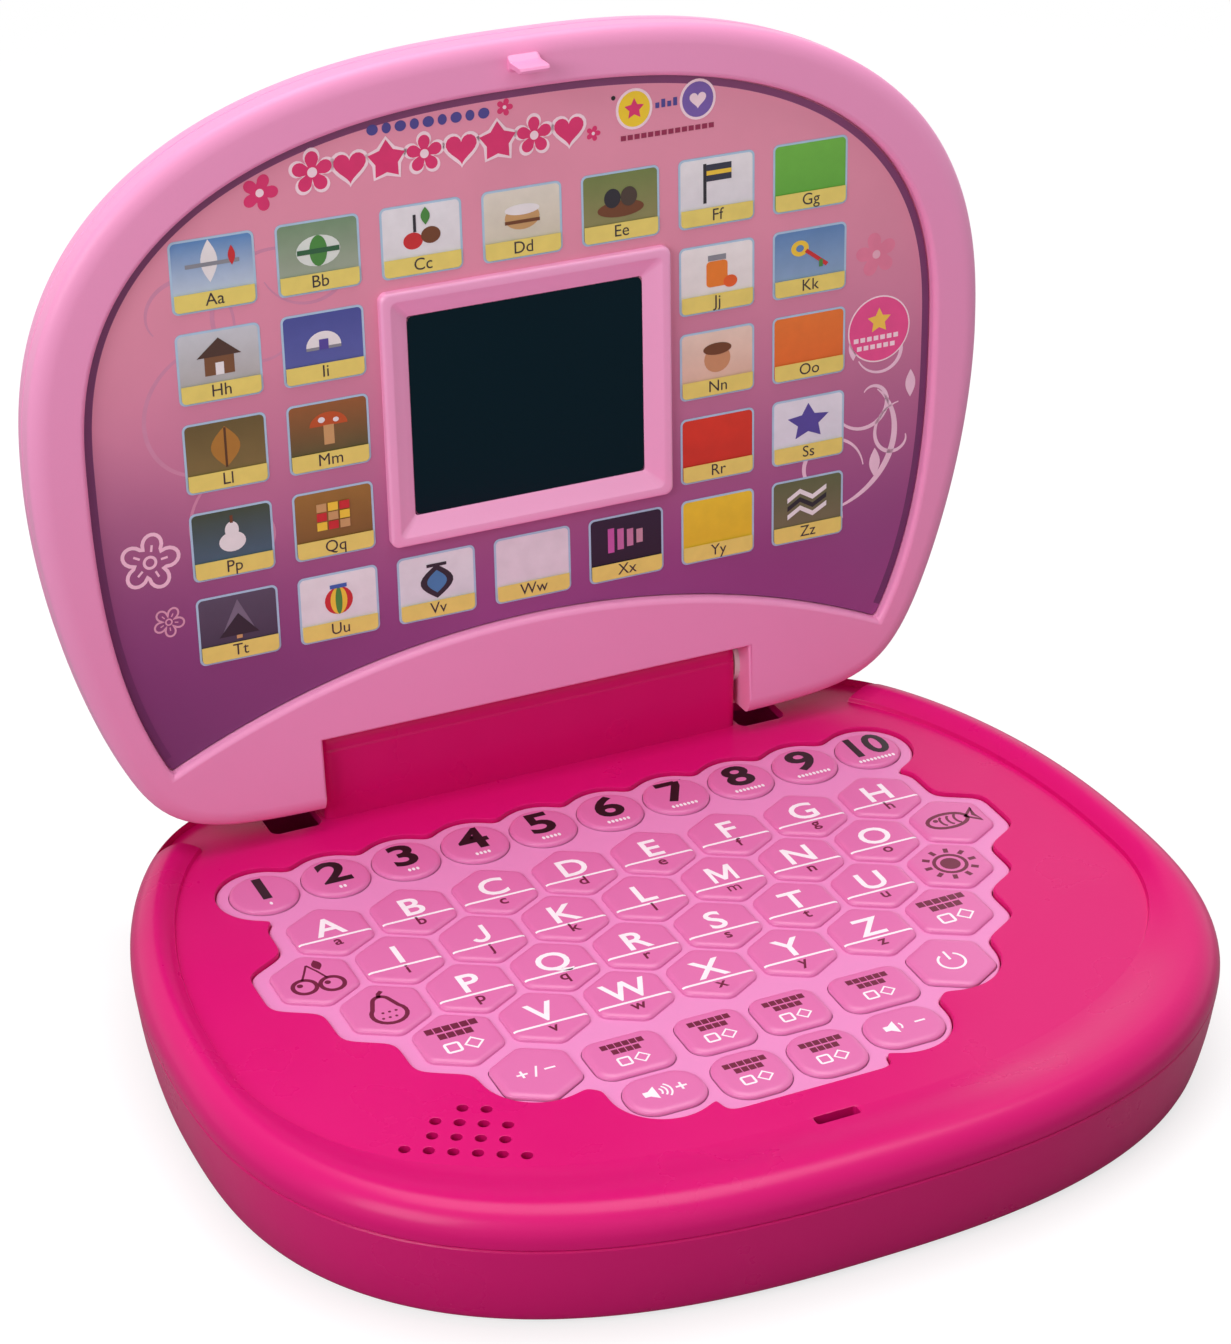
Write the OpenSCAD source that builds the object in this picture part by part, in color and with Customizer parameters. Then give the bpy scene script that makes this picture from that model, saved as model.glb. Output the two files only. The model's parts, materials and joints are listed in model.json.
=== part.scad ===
/* [Base] */
// Width of the base
base_w = 226; // [224:1:228]
// Depth of the base, front edge to rear edge
base_d = 187; // [185:1:190]
// Table to the tops of the keys
key_top_z = 24; // [23.6:0.1:24.4]
// Table to the seam between the base shells
seam_z = 20.2; // [19.6:0.1:20.8]
// Wall of the moulded shells
wall = 2.2; // [1.8:0.1:2.4]
// Height of the raised rim over the deck
rim_h = 3.5; // [3:0.1:3.8]
// Width of the raised side rim, edge to crease
rim_w = 9.4; // [8.4:0.2:11]
// Step from the side rim down to the deck at the crease
rim_step = 1.2; // [0.8:0.1:1.6]
// Width of the slope behind the front lip, edge to deck
lip_w = 22; // [18:1:24]
// Height of the rubber feet under the bottom shell
foot_h = 1; // [0.6:0.1:1.2]
// Radius of a rubber foot
foot_r = 6; // [4:0.5:7]

/* [Keypad] */
// Distance between neighbouring letter keys
pitch = 19; // [18.6:0.1:19.2]
// Width of a letter key over its flats, as a share of the pitch
key_share = 0.9; // [0.84:0.02:0.92]
// Distance between neighbouring number keys
digit_pitch = 16.5; // [16.3:0.1:16.8]
// Radius of a number key
digit_r = 7.6; // [7:0.1:7.7]
// Height of a key top over the overlay film
key_rise = 1; // [0.8:0.1:1.2]
// Depth of the overlay film below the deck
film_drop = 0.9; // [0.6:0.1:1.1]
// Travel of a key
key_travel = 0.7; // [0.5:0.05:0.8]
// Gap round a key in the overlay
key_gap = 0.15; // [0.1:0.05:0.25]

/* [Lid] */
// Side edge of the lid inside the side edge of the base
lid_inset = 1.5; // [1:0.5:2.5]
// Hinge axis to the top edge of the lid
lid_reach = 158; // [156:1:160]
// Thickness of the lid
lid_t = 15; // [14:0.5:16]
// Thickness of the lid's front shell
front_t = 6; // [5.5:0.1:6.5]
// Depth of the display recess to the printed panel
recess_d = 2.5; // [2:0.1:2.8]
// Thickness of the printed display panel
panel_t = 1; // [0.8:0.1:1.2]
// Width of the LCD window
lcd_w = 54.4; // [52:0.2:56]
// Height of the LCD window
lcd_h = 45.2; // [43:0.2:47]
// Width of the frame round the LCD window
bezel_w = 6.6; // [6:0.2:7.4]
// Lean of the open lid past upright, degrees
lid_lean = 2.3; // [0:0.1:5]

/* [Hinge] */
// Height of the hinge axis over the key tops
hinge_rise = 15.3; // [15:0.1:16]
// Hinge axis to the front face of the lid
face_off = 11; // [10.5:0.1:11]
// Width of the hinge block on the base
block_w = 102.6; // [100:0.2:104]
// Gap between the hinge block and each lid lobe
side_gap = 1.3; // [1.2:0.1:1.6]
// Radius of a hinge pin
pin_r = 3.5; // [3:0.1:3.8]
// Running clearance of a hinge pin in the base
pin_gap = 0.06; // [0.03:0.01:0.1]

/* [Inside] */
// Diameter of an AA cell
cell_d = 14.2; // [14:0.1:14.4]
// Length of an AA cell
cell_len = 50; // [49:0.5:50.5]
// Diameter of the speaker
speaker_d = 36; // [32:1:38]
// Thickness of a circuit board
pcb_t = 1.6; // [1:0.2:2]
// Diameter of a self-tapping screw
screw_d = 2.6; // [2.2:0.2:3]

/* [Hidden] */
$fn = 48;
cut = 0.01;                       // overshoot of a cutting solid
fit = 0.3;                        // free gap round a seated plate
ring_n = 96;                      // points round a shell outline

// Heights of the base
film_z = key_top_z - key_rise;
deck_z = film_z + film_drop;
roof_z = deck_z - wall;
crest_z = deck_z + rim_h;
film_t = 2.1;
contact_t = 0.3;
contact_z = film_z - film_t - contact_t;
keybed_wall = 1.5;
keybed_z = contact_z - keybed_wall; // underside of the tray that holds the keypad
bottom_z = foot_h;
floor_z = bottom_z + wall;
mate_z = seam_z - 6;              // where the screw bosses meet the posts

// Outline of the base, a superellipse with a fuller front and a cut rear
base_mid = -2.5;                  // widest line of the outline
base_front_n = 2.52;
base_rear_n = 2.19;
base_rear_reach = 125.5;
corner_n = 14;                    // sharpness of the corners at a straight cut

// Rim of the base
edge_r = 6;                       // rounding of the outer edge
edge_lift = 0.8;                  // upright wall over the seam
edge_steps = 5;
slope_steps = 4;
crease_run = 0.3;                 // run of the step at the crease
crease_turn_y = -10;              // where the crease starts to leave the edge
crease_fade_y = [-30, -62];       // where its step fades out
pocket_y = base_d / 2 - 20.2;     // where the rim is cut off in front of the lid lobes
pocket_wall = 2;

// Side of the bottom shell: [height over its underside, inset]
bottom_side = [[0, 4.2], [0.7, 3.2], [2.4, 2.6], [7, 1.6], [12, 0.8]];

// Outline of the lid about its widest line
lid_w = base_w - 2 * lid_inset;
lid_mid = lid_reach - 82.4;
lid_top_n = 2.51;
lid_foot_n = 1.83;
lid_foot_reach = 152;

// Hinge
hinge_z = key_top_z + hinge_rise;
hinge_y = base_d / 2 - 12.7;
lobe_x = block_w / 2 + side_gap;
notch_y = 7;                      // hinge axis to the upper edge of the lid notch
block_face = notch_y - 0.5;       // hinge axis to the front of the hinge block
block_round = 3.5;
notch_clear = block_face + 2.1;   // swept room round the hinge block
block_rear = block_round + sqrt(pow(notch_clear - fit - block_round, 2)
    - pow(block_face - block_round, 2));
ear_t = 5;
lobe_turn = 205;                  // degrees round the axis over which a lobe stays round
wedge_y = 40;                     // top of the fairing behind each lid lobe
well_size = [12, 11];             // hole in the deck beside each end of the hinge block
well_y = hinge_y - 2;
cable_r = 1.2;
cable_bend = 12;                  // how far the cable runs out past the ear

// Lid levels, measured from the hinge axis towards the viewer
front_z = face_off;
split_z = face_off - front_t;
back_z = face_off - lid_t;
panel_z = front_z - recess_d;
tray_z = panel_z - panel_t;
tray_t = 1.9;
tray_back = tray_z - tray_t;
bezel_z = front_z - 0.6;
lcd_y = 78.2;
lcd_t = 3.2;
bezel_lip = 1.6;                  // rounded outer lip of the window frame
bezel_low = 0.5;                  // height of its inner edge over the panel
sheet_w = lcd_w + 3.6;
sheet_h = lcd_h + 3.8;

// Front edge and back edge of the lid: [depth under the face, inset]
lid_front_edge = [[2.6, 0], [1.1, 0.7], [0.3, 1.7], [0, 3]];
lid_back_edge = [[0, 7.5], [0.6, 4.8], [1.7, 2.7], [3.4, 1.1], [5.4, 0.3]];

// Display recess, a superellipse cut off below by a wide arc
recess_in = 11.8;                 // lid edge to recess at the widest line
recess_top = 10.9;                // lid edge to recess at the top
recess_foot_reach = 114;
recess_n = [2.6, 2.5];
recess_arc_r = 202;
recess_arc_y = 26;                // highest point of that arc

// Rows of keys
first_row_y = 31.5;
row_step = pitch * 0.848;
row_counts = [8, 9, 8, 7];
digit_y = 51.3;
tip_share = 1.04;                 // corner-to-corner width before rounding, in key widths
dome_r = 90;                      // radius of the domed key tops
field_r = pitch * 0.727;          // corner radius of a film cell
film_digit_r = digit_r + 3;
function row_y(r) = first_row_y - r * row_step;
function row_x(r, i) = (i - (row_counts[r] - 1) / 2) * pitch;

// Function keys: [x, y, width, height, corner radius], in pitches
command_keys = [
    [-2.5, -1.8, 0, 0, 0], [-1.475, -1.9, 0.92, 0.70, 0.2], [-0.45, -1.9, 0.80, 0.70, 0.2],
    [0.45, -1.9, 0.80, 0.70, 0.2], [1.475, -1.9, 0.92, 0.70, 0.2], [2.5, -1.8, 0, 0, 0],
    [-1.42, -2.67, 0.90, 0.66, 0.3], [-0.45, -2.75, 0.80, 0.80, 0.3],
    [0.45, -2.75, 0.80, 0.80, 0.3], [1.42, -2.67, 0.90, 0.66, 0.3]];

// Speaker grille: centre of the longest row, slope and holes in each row
speaker_at = [-(base_w / 2 - 45.4), -(base_d / 2 - 45.6)];
grille_at = speaker_at + [-2.8, -4.9];
grille_tilt = -29.6;
grille_rows = [6, 4, 4, 2];
grille_step = pitch / 4;
grille_hole_r = 1.15;
speaker_z = keybed_z;             // front face of the speaker
speaker_t = 2;
magnet_t = 4;
seat_wall = 1.4;
seat_lap = 1.5;                   // how far the seat laps over the speaker's face

// Catch of the lid and its slot in the deck
catch_y = lid_reach - 5;
catch_w = 7;
catch_t = 1.2;
catch_reach = front_z + 6.8;
hook_t = 0.3;
slot_w = catch_w + 2.5;
slot_d = catch_t + 1.4;
slot_y = hinge_y - catch_y;

// Battery bay
bay_at = [0, 18];
bay_gap = 0.5;
bay_l = cell_len + 9;
bay_w = 3 * (cell_d + bay_gap) + bay_gap;
bay_wall = 1.6;
door_lip = 4;
door_t = 1.2;
plate_t = 0.5;
plate_w = 11;
spring_r = 4.4;
spring_step = 1.2;
spring_taper = 0.6;

// Fasteners
boss_r = 3.6;
post_r = 3;
head_r = 2.4;
head_t = 1.6;
screw_gap = 0.1;
screw_bite = 5;                   // depth of a case screw in its post
seat_z = bottom_z + 2 + head_t;   // level on which a case screw's head bears
case_screw_at = [for (s = [-1, 1], p = [[base_w / 2 - 17, -6],
    [block_w / 2 + 19.7, base_d / 2 - 15.5], [38, 15.5 - base_d / 2]]) [s * p.x, p.y]];
foot_at = [for (s = [-1, 1], p = [[base_w / 2 - 25, 50],
    [base_w / 2 - 41, 33.5 - base_d / 2]]) [s * p.x, p.y]];
lid_screw_at = [for (s = [-1, 1], p = [[lid_w / 2 - 7.1, lid_mid],
    [30, lid_reach - 6.8]]) [s * p.x, p.y]];

// Circuit boards
board_at = [40, 43.5 - base_d / 2];
board_size = [72, 40];
board_hole_in = 4;
board_post_h = 3;
board_hole_at = [for (sx = [-1, 1], sy = [-1, 1])
    [board_at.x + sx * (board_size.x / 2 - board_hole_in),
     board_at.y + sy * (board_size.y / 2 - board_hole_in)]];
chip_at = [-6, 2];
chip_size = [14, 14, 2];
can_at = [20, -2];
can_d = 6;
plug_at = [-26, -4];
plug_size = [5, 12, 3.5];
lcd_board_size = [78, 56];
lcd_hole_at = [for (sx = [-1, 1], sy = [-1, 1])
    [sx * (lcd_board_size.x / 2 - board_hole_in), lcd_y + sy * (lcd_board_size.y / 2 - board_hole_in)]];
cable_in = [14, 8];               // where the cable meets the display board, from its corner

// Shapes by formula
function smooth(a, b, x) = let (t = max(0, min(1, (x - a) / (b - a)))) t * t * (3 - 2 * t);
function blend(p, q) = pow(pow(p, corner_n) + pow(q, corner_n), 1 / corner_n);
function super(c, s, half, reach, n) = pow(pow(abs(c) / half, n) + pow(abs(s) / reach, n), 1 / n);
function oval_point(a, half, low, low_n, high, high_n, low_cut, high_cut) =
    let (c = cos(a), s = sin(a),
        q = s < 0 ? super(c, s, half, low, low_n) : super(c, s, half, high, high_n),
        r = 1 / blend(q, s < 0 ? -s / low_cut : s / high_cut)) [r * c, r * s];
function turned(n) = [for (i = [0:n - 1]) 360 * i / n];
function base_ring() = [for (a = turned(ring_n)) [0, base_mid] + oval_point(a, base_w / 2,
    base_d / 2 + base_mid, base_front_n, base_rear_reach, base_rear_n, base_d,
    base_d / 2 - base_mid)];
function lid_ring() = [for (a = turned(ring_n)) [0, lid_mid] + oval_point(a, lid_w / 2,
    lid_foot_reach, lid_foot_n, lid_reach - lid_mid, lid_top_n, lid_mid + face_off, lid_reach)];
function recess_ring() = [for (a = turned(ring_n)) [0, lcd_y] + oval_point(a,
    lid_w / 2 - recess_in, recess_foot_reach, recess_n[0], lid_reach - recess_top - lcd_y,
    recess_n[1], lid_reach, lid_reach)];
function inset(ring, d) = let (n = len(ring)) [for (i = [0:n - 1])
    let (q = ring[(i + 1) % n] - ring[(i + n - 1) % n],
        e = is_list(d) ? d[i] : d) ring[i] + e * [-q.y, q.x] / norm(q)];
function at_height(ring, z) = [for (i = [0:len(ring) - 1])
    [ring[i].x, ring[i].y, is_list(z) ? z[i] : z]];
function plate_points(w, h, r, steps = 4) = [for (k = [0:3], j = [0:steps])
    let (a = 90 * (k + j / steps), sx = (k == 0 || k == 3) ? 1 : -1, sy = k < 2 ? 1 : -1)
    [sx * (w / 2 - r) + r * cos(a), sy * (h / 2 - r) + r * sin(a)]];
function arc_points(r, from, to, steps) = [for (j = [0:steps])
    let (a = from + (to - from) * j / steps) r * [cos(a), sin(a)]];

// Solid through a stack of rings
module loft(rings) {
    n = len(rings[0]);
    m = len(rings);
    polyhedron(points = [for (ring = rings, p = ring) p], faces = concat(
        [[for (i = [0:n - 1]) i]], [[for (i = [n - 1:-1:0]) (m - 1) * n + i]],
        [for (j = [0:m - 2], i = [0:n - 1]) let (k = (i + 1) % n)
            [j * n + i, (j + 1) * n + i, (j + 1) * n + k, j * n + k]]), convexity = 6);
}
module prism(points, z0, z1) {
    translate([0, 0, z0]) linear_extrude(z1 - z0) polygon(points);
}
module rod(x0, x1, r) {
    translate([x0, 0, 0]) rotate([0, 90, 0]) cylinder(r = r, h = x1 - x0);
}
module both_sides() {
    children();
    mirror([1, 0, 0]) children();
}
module place_lid() {
    translate([0, hinge_y, hinge_z]) rotate([90 - lid_lean, 0, 0]) children();
}

// Key outlines in the plane
module letter_shape(grow) {
    w = pitch * key_share + 2 * grow;
    intersection() {
        rotate(30) circle(r = w / sqrt(3), $fn = 6);
        circle(r = w * tip_share / 2);
    }
}
module command_shape(k, grow) {
    key = command_keys[k] * pitch;
    translate([key[0], key[1]])
        if (key[2] == 0) letter_shape(grow);
        else polygon(plate_points(key[2] + 2 * grow, key[3] + 2 * grow, key[4] + grow));
}
module digit_shape(k, grow) {
    translate([(k - 4.5) * digit_pitch, digit_y]) circle(r = digit_r + grow);
}
module letter_rows() {
    for (r = [0:3], i = [0:row_counts[r] - 1])
        translate([row_x(r, i), row_y(r)]) children();
}
module keypad_shape(grow) {
    letter_rows() rotate(30) circle(r = field_r + grow, $fn = 6);
    for (k = [0:9]) digit_shape(k, film_digit_r - digit_r + grow);
    translate([0, (first_row_y + digit_y) / 2])
        square([8.5 * digit_pitch, digit_y - first_row_y], center = true);
    for (s = [-1, 1]) {
        translate([s * 2.45, -1.7] * pitch) circle(r = 0.64 * pitch + grow);
        translate([s * 1.4, -2.55] * pitch) circle(r = 0.6 * pitch + grow);
    }
    translate([0, -1.7] * pitch) square([4.2 * pitch, 1.3 * pitch + 2 * grow], center = true);
    translate([0, -2.35] * pitch)
        polygon(plate_points(1.96 * pitch + 2 * grow, 1.8 * pitch + 2 * grow, 0.3 * pitch));
}

// Base casing
module hinge_block(grow) {
    face = block_face + grow;
    top = block_face + grow;
    r = block_round;
    foot = deck_z - hinge_z - 1;
    profile = concat([[-face, foot], [block_rear + grow, foot]],
        [for (p = arc_points(r, 0, 90, 6)) [block_rear + grow - r + p.x, top - r + p.y]],
        [for (p = arc_points(r, 90, 180, 6)) [r - face + p.x, top - r + p.y]]);
    half = block_w / 2 + grow;
    translate([-half, hinge_y, hinge_z]) rotate([90, 0, 90])
        linear_extrude(2 * half) polygon(profile);
}
module upper_outer() {
    ring = base_ring();
    front = [for (p = ring) smooth(crease_turn_y, -base_d / 2, p.y)];
    crease = [for (f = front) rim_w + (lip_w - rim_w) * f];
    foot = [for (p = ring) deck_z + rim_step * (1 - smooth(crease_fade_y[0], crease_fade_y[1], p.y))];
    start_z = seam_z + edge_lift;
    loft(concat(
        [at_height(ring, seam_z)],
        [for (k = [0:edge_steps]) let (a = 90 * k / edge_steps)
            at_height(inset(ring, edge_r * (1 - cos(a))), start_z + (crest_z - start_z) * sin(a))],
        [for (k = [1:slope_steps]) let (t = k / slope_steps, n = len(ring))
            at_height(inset(ring, [for (w = crease) edge_r + (w - edge_r) * t]),
                [for (i = [0:n - 1]) let (ease = t + (smooth(0, 1, t) - t) * front[i])
                    crest_z - (crest_z - foot[i]) * ease])],
        [at_height(inset(ring, [for (w = crease) w + crease_run]), deck_z)]));
}
module lobe_pocket() {
    intersection() {
        prism(inset(base_ring(), pocket_wall), deck_z, crest_z + 1);
        translate([-base_w, pocket_y, 0]) cube([2 * base_w, base_d, 2 * crest_z]);
    }
}
module speaker_seat() {
    translate([speaker_at.x, speaker_at.y, 0]) difference() {
        translate([0, 0, speaker_z - speaker_t - 1])
            cylinder(r = speaker_d / 2 + seat_wall, h = roof_z - speaker_z + speaker_t + 1 + cut);
        cylinder(r = speaker_d / 2 + screw_gap, h = speaker_z);
        cylinder(r = speaker_d / 2 - seat_lap, h = roof_z);
    }
}
module base_upper_shell() {
    hollow_d = block_face + block_rear - 2 * wall;
    color("deeppink") difference() {
        union() {
            difference() {
                union() {
                    difference() {
                        upper_outer();
                        lobe_pocket();
                    }
                    hinge_block(0);
                }
                prism(inset(base_ring(), wall + 0.6), seam_z - cut, roof_z);
                hinge_block(-wall);
                translate([-block_w / 2 + wall, hinge_y - block_face + wall, roof_z - cut])
                    cube([block_w - 2 * wall, hollow_d, wall]);
            }
            for (p = case_screw_at)
                translate([p.x, p.y, mate_z]) cylinder(r = post_r, h = roof_z - mate_z + cut);
            translate([0, 0, keybed_z]) linear_extrude(roof_z - keybed_z + cut)
                keypad_shape(fit / 2 + keybed_wall);
            speaker_seat();
        }
        translate([0, 0, contact_z]) linear_extrude(key_top_z) keypad_shape(fit / 2);
        translate([0, hinge_y, hinge_z]) both_sides()
            rod(block_w / 2 - wall - cut, block_w / 2 + cut, pin_r + pin_gap);
        both_sides() translate([block_w / 2 + 1 + well_size.x / 2, well_y, 0])
            prism(plate_points(well_size.x, well_size.y, 2), roof_z - 1, crest_z);
        translate([0, slot_y, deck_z]) cube([slot_w, slot_d, 4 * wall], center = true);
        for (r = [0:len(grille_rows) - 1], i = [0:grille_rows[r] - 1])
            translate(grille_at) rotate(grille_tilt)
                translate([(i - (grille_rows[r] - 1) / 2) * grille_step, r * grille_step,
                    roof_z - cut]) cylinder(r = grille_hole_r, h = deck_z, $fn = 24);
        for (p = case_screw_at) translate([p.x, p.y, mate_z - cut])
            cylinder(d = screw_d + screw_gap, h = screw_bite + 1);
    }
}
module lower_outer() {
    ring = base_ring();
    loft(concat([for (k = bottom_side) at_height(inset(ring, k[1]), bottom_z + k[0])],
        [for (z = [seam_z - 1, seam_z]) at_height(inset(ring, 0.05), z)]));
}
module base_lower_shell() {
    color("deeppink") difference() {
        union() {
            difference() {
                lower_outer();
                prism(inset(base_ring(), wall + 4), floor_z, bottom_z + 7);
                prism(inset(base_ring(), wall + 1.6), bottom_z + 7 - cut, seam_z + cut);
            }
            for (p = case_screw_at)
                translate([p.x, p.y, bottom_z + 1]) cylinder(r = boss_r, h = mate_z - bottom_z - 1);
            for (p = board_hole_at)
                translate([p.x, p.y, floor_z - cut]) cylinder(r = post_r, h = board_post_h + cut);
            translate([bay_at.x, bay_at.y, bottom_z + 1]) linear_extrude(keybed_z - 0.2 - bottom_z - 1)
                square([bay_l + 2 * bay_wall, bay_w + 2 * bay_wall], center = true);
        }
        translate([bay_at.x, bay_at.y, bottom_z - cut])
            linear_extrude(roof_z) square([bay_l, bay_w], center = true);
        translate([bay_at.x, bay_at.y, bottom_z - cut])
            prism(plate_points(bay_l + 2 * door_lip, bay_w + 2 * door_lip, 3), 0, door_t + cut);
        for (p = case_screw_at) translate([p.x, p.y, 0]) {
            cylinder(r = head_r + fit, h = seat_z);
            cylinder(d = screw_d + 2 * screw_gap, h = mate_z + 1);
        }
        for (p = board_hole_at)
            translate([p.x, p.y, floor_z]) cylinder(d = screw_d - 0.4 + screw_gap, h = board_post_h + 1);
        for (p = foot_at)
            translate([p.x, p.y, bottom_z - cut]) cylinder(r = foot_r, h = 0.6 + cut);
    }
}
module battery_door() {
    color("mediumvioletred") translate([bay_at.x, bay_at.y, 0]) {
        prism(plate_points(bay_l + 2 * door_lip - 2 * fit, bay_w + 2 * door_lip - 2 * fit, 2.7),
            bottom_z, bottom_z + door_t);
        prism(plate_points(bay_l - 2 * fit, bay_w - 2 * fit, 1), bottom_z + door_t - cut, floor_z);
    }
}
module rubber_feet() {
    color("dimgray") for (p = foot_at)
        translate([p.x, p.y, 0]) cylinder(r = foot_r, h = foot_h + 0.6);
}

// Keypad
module key_dome() {
    translate([0, 0, key_top_z - dome_r]) sphere(r = dome_r, $fn = 180);
}
module keypad_overlay() {
    color("hotpink") difference() {
        union() {
            translate([0, 0, film_z - film_t]) linear_extrude(film_t) keypad_shape(0);
            letter_rows() intersection() {
                translate([0, 0, film_z - cut]) linear_extrude(key_rise + cut) letter_shape(0);
                key_dome();
            }
        }
        translate([0, 0, contact_z]) linear_extrude(key_top_z) {
            for (k = [0:9]) digit_shape(k, key_gap);
            for (k = [0:len(command_keys) - 1]) command_shape(k, key_gap);
        }
    }
}
module contact_film() {
    color("silver") translate([0, 0, contact_z]) linear_extrude(contact_t) keypad_shape(-0.4);
}
module domed_key(at) {
    bottom = contact_z + contact_t + key_travel + 0.1;
    intersection() {
        translate([0, 0, bottom]) linear_extrude(key_top_z - bottom) children();
        translate(at) key_dome();
    }
}
module digit_key(k) {
    color("pink") domed_key([(k - 4.5) * digit_pitch, digit_y]) digit_shape(k, 0);
}
module command_key(k) {
    color("pink") domed_key([command_keys[k][0], command_keys[k][1]] * pitch) command_shape(k, 0);
}

// Inside the base
module main_board() {
    z = floor_z + board_post_h;
    color("darkgreen") difference() {
        translate([board_at.x, board_at.y, z]) union() {
            prism(plate_points(board_size.x, board_size.y, 1.5), 0, pcb_t);
            translate([chip_at.x, chip_at.y, pcb_t - cut]) linear_extrude(chip_size.z)
                square([chip_size.x, chip_size.y], center = true);
            translate([can_at.x, can_at.y, pcb_t - cut]) cylinder(d = can_d, h = can_d);
            translate([plug_at.x, plug_at.y, pcb_t - cut]) linear_extrude(plug_size.z)
                square([plug_size.x, plug_size.y], center = true);
        }
        for (p = board_hole_at)
            translate([p.x, p.y, z - cut]) cylinder(d = screw_d + 2 * screw_gap, h = pcb_t + 2 * cut);
    }
}
module screw(length, d) {
    translate([0, 0, -length]) cylinder(d = d, h = length + cut);
    cylinder(r = head_r, h = head_t);
}
module board_screws() {
    color("lightgray") for (p = board_hole_at)
        translate([p.x, p.y, floor_z + board_post_h + pcb_t]) screw(4, screw_d - 0.4);
}
module speaker() {
    color("black") translate([speaker_at.x, speaker_at.y, 0]) {
        translate([0, 0, speaker_z - speaker_t]) difference() {
            cylinder(d = speaker_d, h = speaker_t);
            translate([0, 0, 0.8])
                cylinder(r1 = speaker_d / 2 - 6, r2 = speaker_d / 2 - 2, h = speaker_t - 0.8 + cut);
        }
        translate([0, 0, speaker_z - speaker_t - magnet_t])
            cylinder(r = speaker_d / 4, h = magnet_t + cut);
    }
}
module battery(k) {
    color("gold") translate([bay_at.x, bay_at.y + (k - 1) * (cell_d + bay_gap),
        floor_z + cell_d / 2]) union() {
        rod(-cell_len / 2 + 1, cell_len / 2 - 1, cell_d / 2);
        rod(cell_len / 2 - 1 - cut, cell_len / 2, cell_d / 5);
    }
}
module battery_springs() {
    color("silver") for (k = [0:2])
        translate([bay_at.x, bay_at.y + (k - 1) * (cell_d + bay_gap), floor_z + cell_d / 2])
            for (t = [0:3]) let (x = -bay_l / 2 + plate_t + t * spring_step)
                rod(x, x + spring_step + cut, spring_r - t * spring_taper);
}
module battery_plates() {
    color("silver") for (k = [0:2], s = [-1, 1])
        translate([bay_at.x + s * (bay_l - plate_t) / 2, bay_at.y + (k - 1) * (cell_d + bay_gap),
            floor_z + cell_d / 2]) cube([plate_t, plate_w, plate_w], center = true);
}
module case_screws() {
    color("lightgray") for (p = case_screw_at)
        translate([p.x, p.y, seat_z]) mirror([0, 0, 1])
            screw(mate_z + screw_bite - seat_z, screw_d);
}

// Lid, drawn about the hinge axis with the screen towards +Z
module lid_profile(r, back) {
    points = concat(arc_points(r, 0, -lobe_turn, 24),
        [[back, wedge_y], [back, 2 * lid_reach], [r, 2 * lid_reach]]);
    rotate([0, -90, 0]) linear_extrude(2 * lid_w, center = true) polygon(points);
}
module notch(grow) {
    half = lobe_x - grow;
    translate([-half, -2 * face_off, -2 * face_off])
        cube([2 * half, 2 * face_off + notch_y - grow, 4 * face_off]);
    rod(-half, half, notch_clear - grow);
}
module recess_shape(grow) {
    difference() {
        polygon(inset(recess_ring(), -grow));
        translate([0, recess_arc_y - recess_arc_r - grow]) circle(r = recess_arc_r, $fn = 240);
    }
}
module lid_front_shell() {
    ring = lid_ring();
    color("hotpink") place_lid() {
        difference() {
            intersection() {
                loft(concat([at_height(ring, split_z)],
                    [for (k = lid_front_edge) at_height(inset(ring, k[1]), front_z - k[0])]));
                lid_profile(face_off, back_z);
            }
            difference() {
                intersection() {
                    prism(inset(ring, wall), split_z - cut, front_z - wall);
                    lid_profile(face_off - wall, back_z);
                }
                translate([0, 0, tray_back]) linear_extrude(front_z) recess_shape(2);
                notch(-wall);
                for (p = lid_screw_at) translate([p.x, p.y, 0]) cylinder(r = post_r - 0.2, h = front_z);
            }
            translate([0, 0, tray_z]) linear_extrude(front_z) recess_shape(0);
            notch(0);
            prism([for (p = plate_points(sheet_w - 2, sheet_h - 2, 1)) p + [0, lcd_y]],
                0, front_z);
            for (p = lid_screw_at) translate([p.x, p.y, 0])
                cylinder(d = screw_d - 0.2 + screw_gap, h = front_z - 1.4);
            for (p = lcd_hole_at) translate([p.x, p.y, 0])
                cylinder(d = screw_d - 0.6 + screw_gap, h = tray_z - 0.6);
        }
        translate([-catch_w / 2, catch_y - catch_t / 2, front_z - 1])
            cube([catch_w, catch_t, catch_reach - front_z + 1]);
        translate([-catch_w / 2, catch_y - catch_t / 2 - hook_t, catch_reach - 1.4])
            cube([catch_w, catch_t, 1.4]);
    }
}
module lobe_body(side, z0, z1, grow) {
    intersection() {
        prism(inset(lid_ring(), side - grow), z0 - grow, z1);
        translate([lobe_x - grow, -2 * face_off, -2 * face_off])
            cube([lid_w, 2 * face_off + wedge_y, 4 * face_off]);
        lid_profile(face_off + grow, back_z - grow);
    }
}
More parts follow.
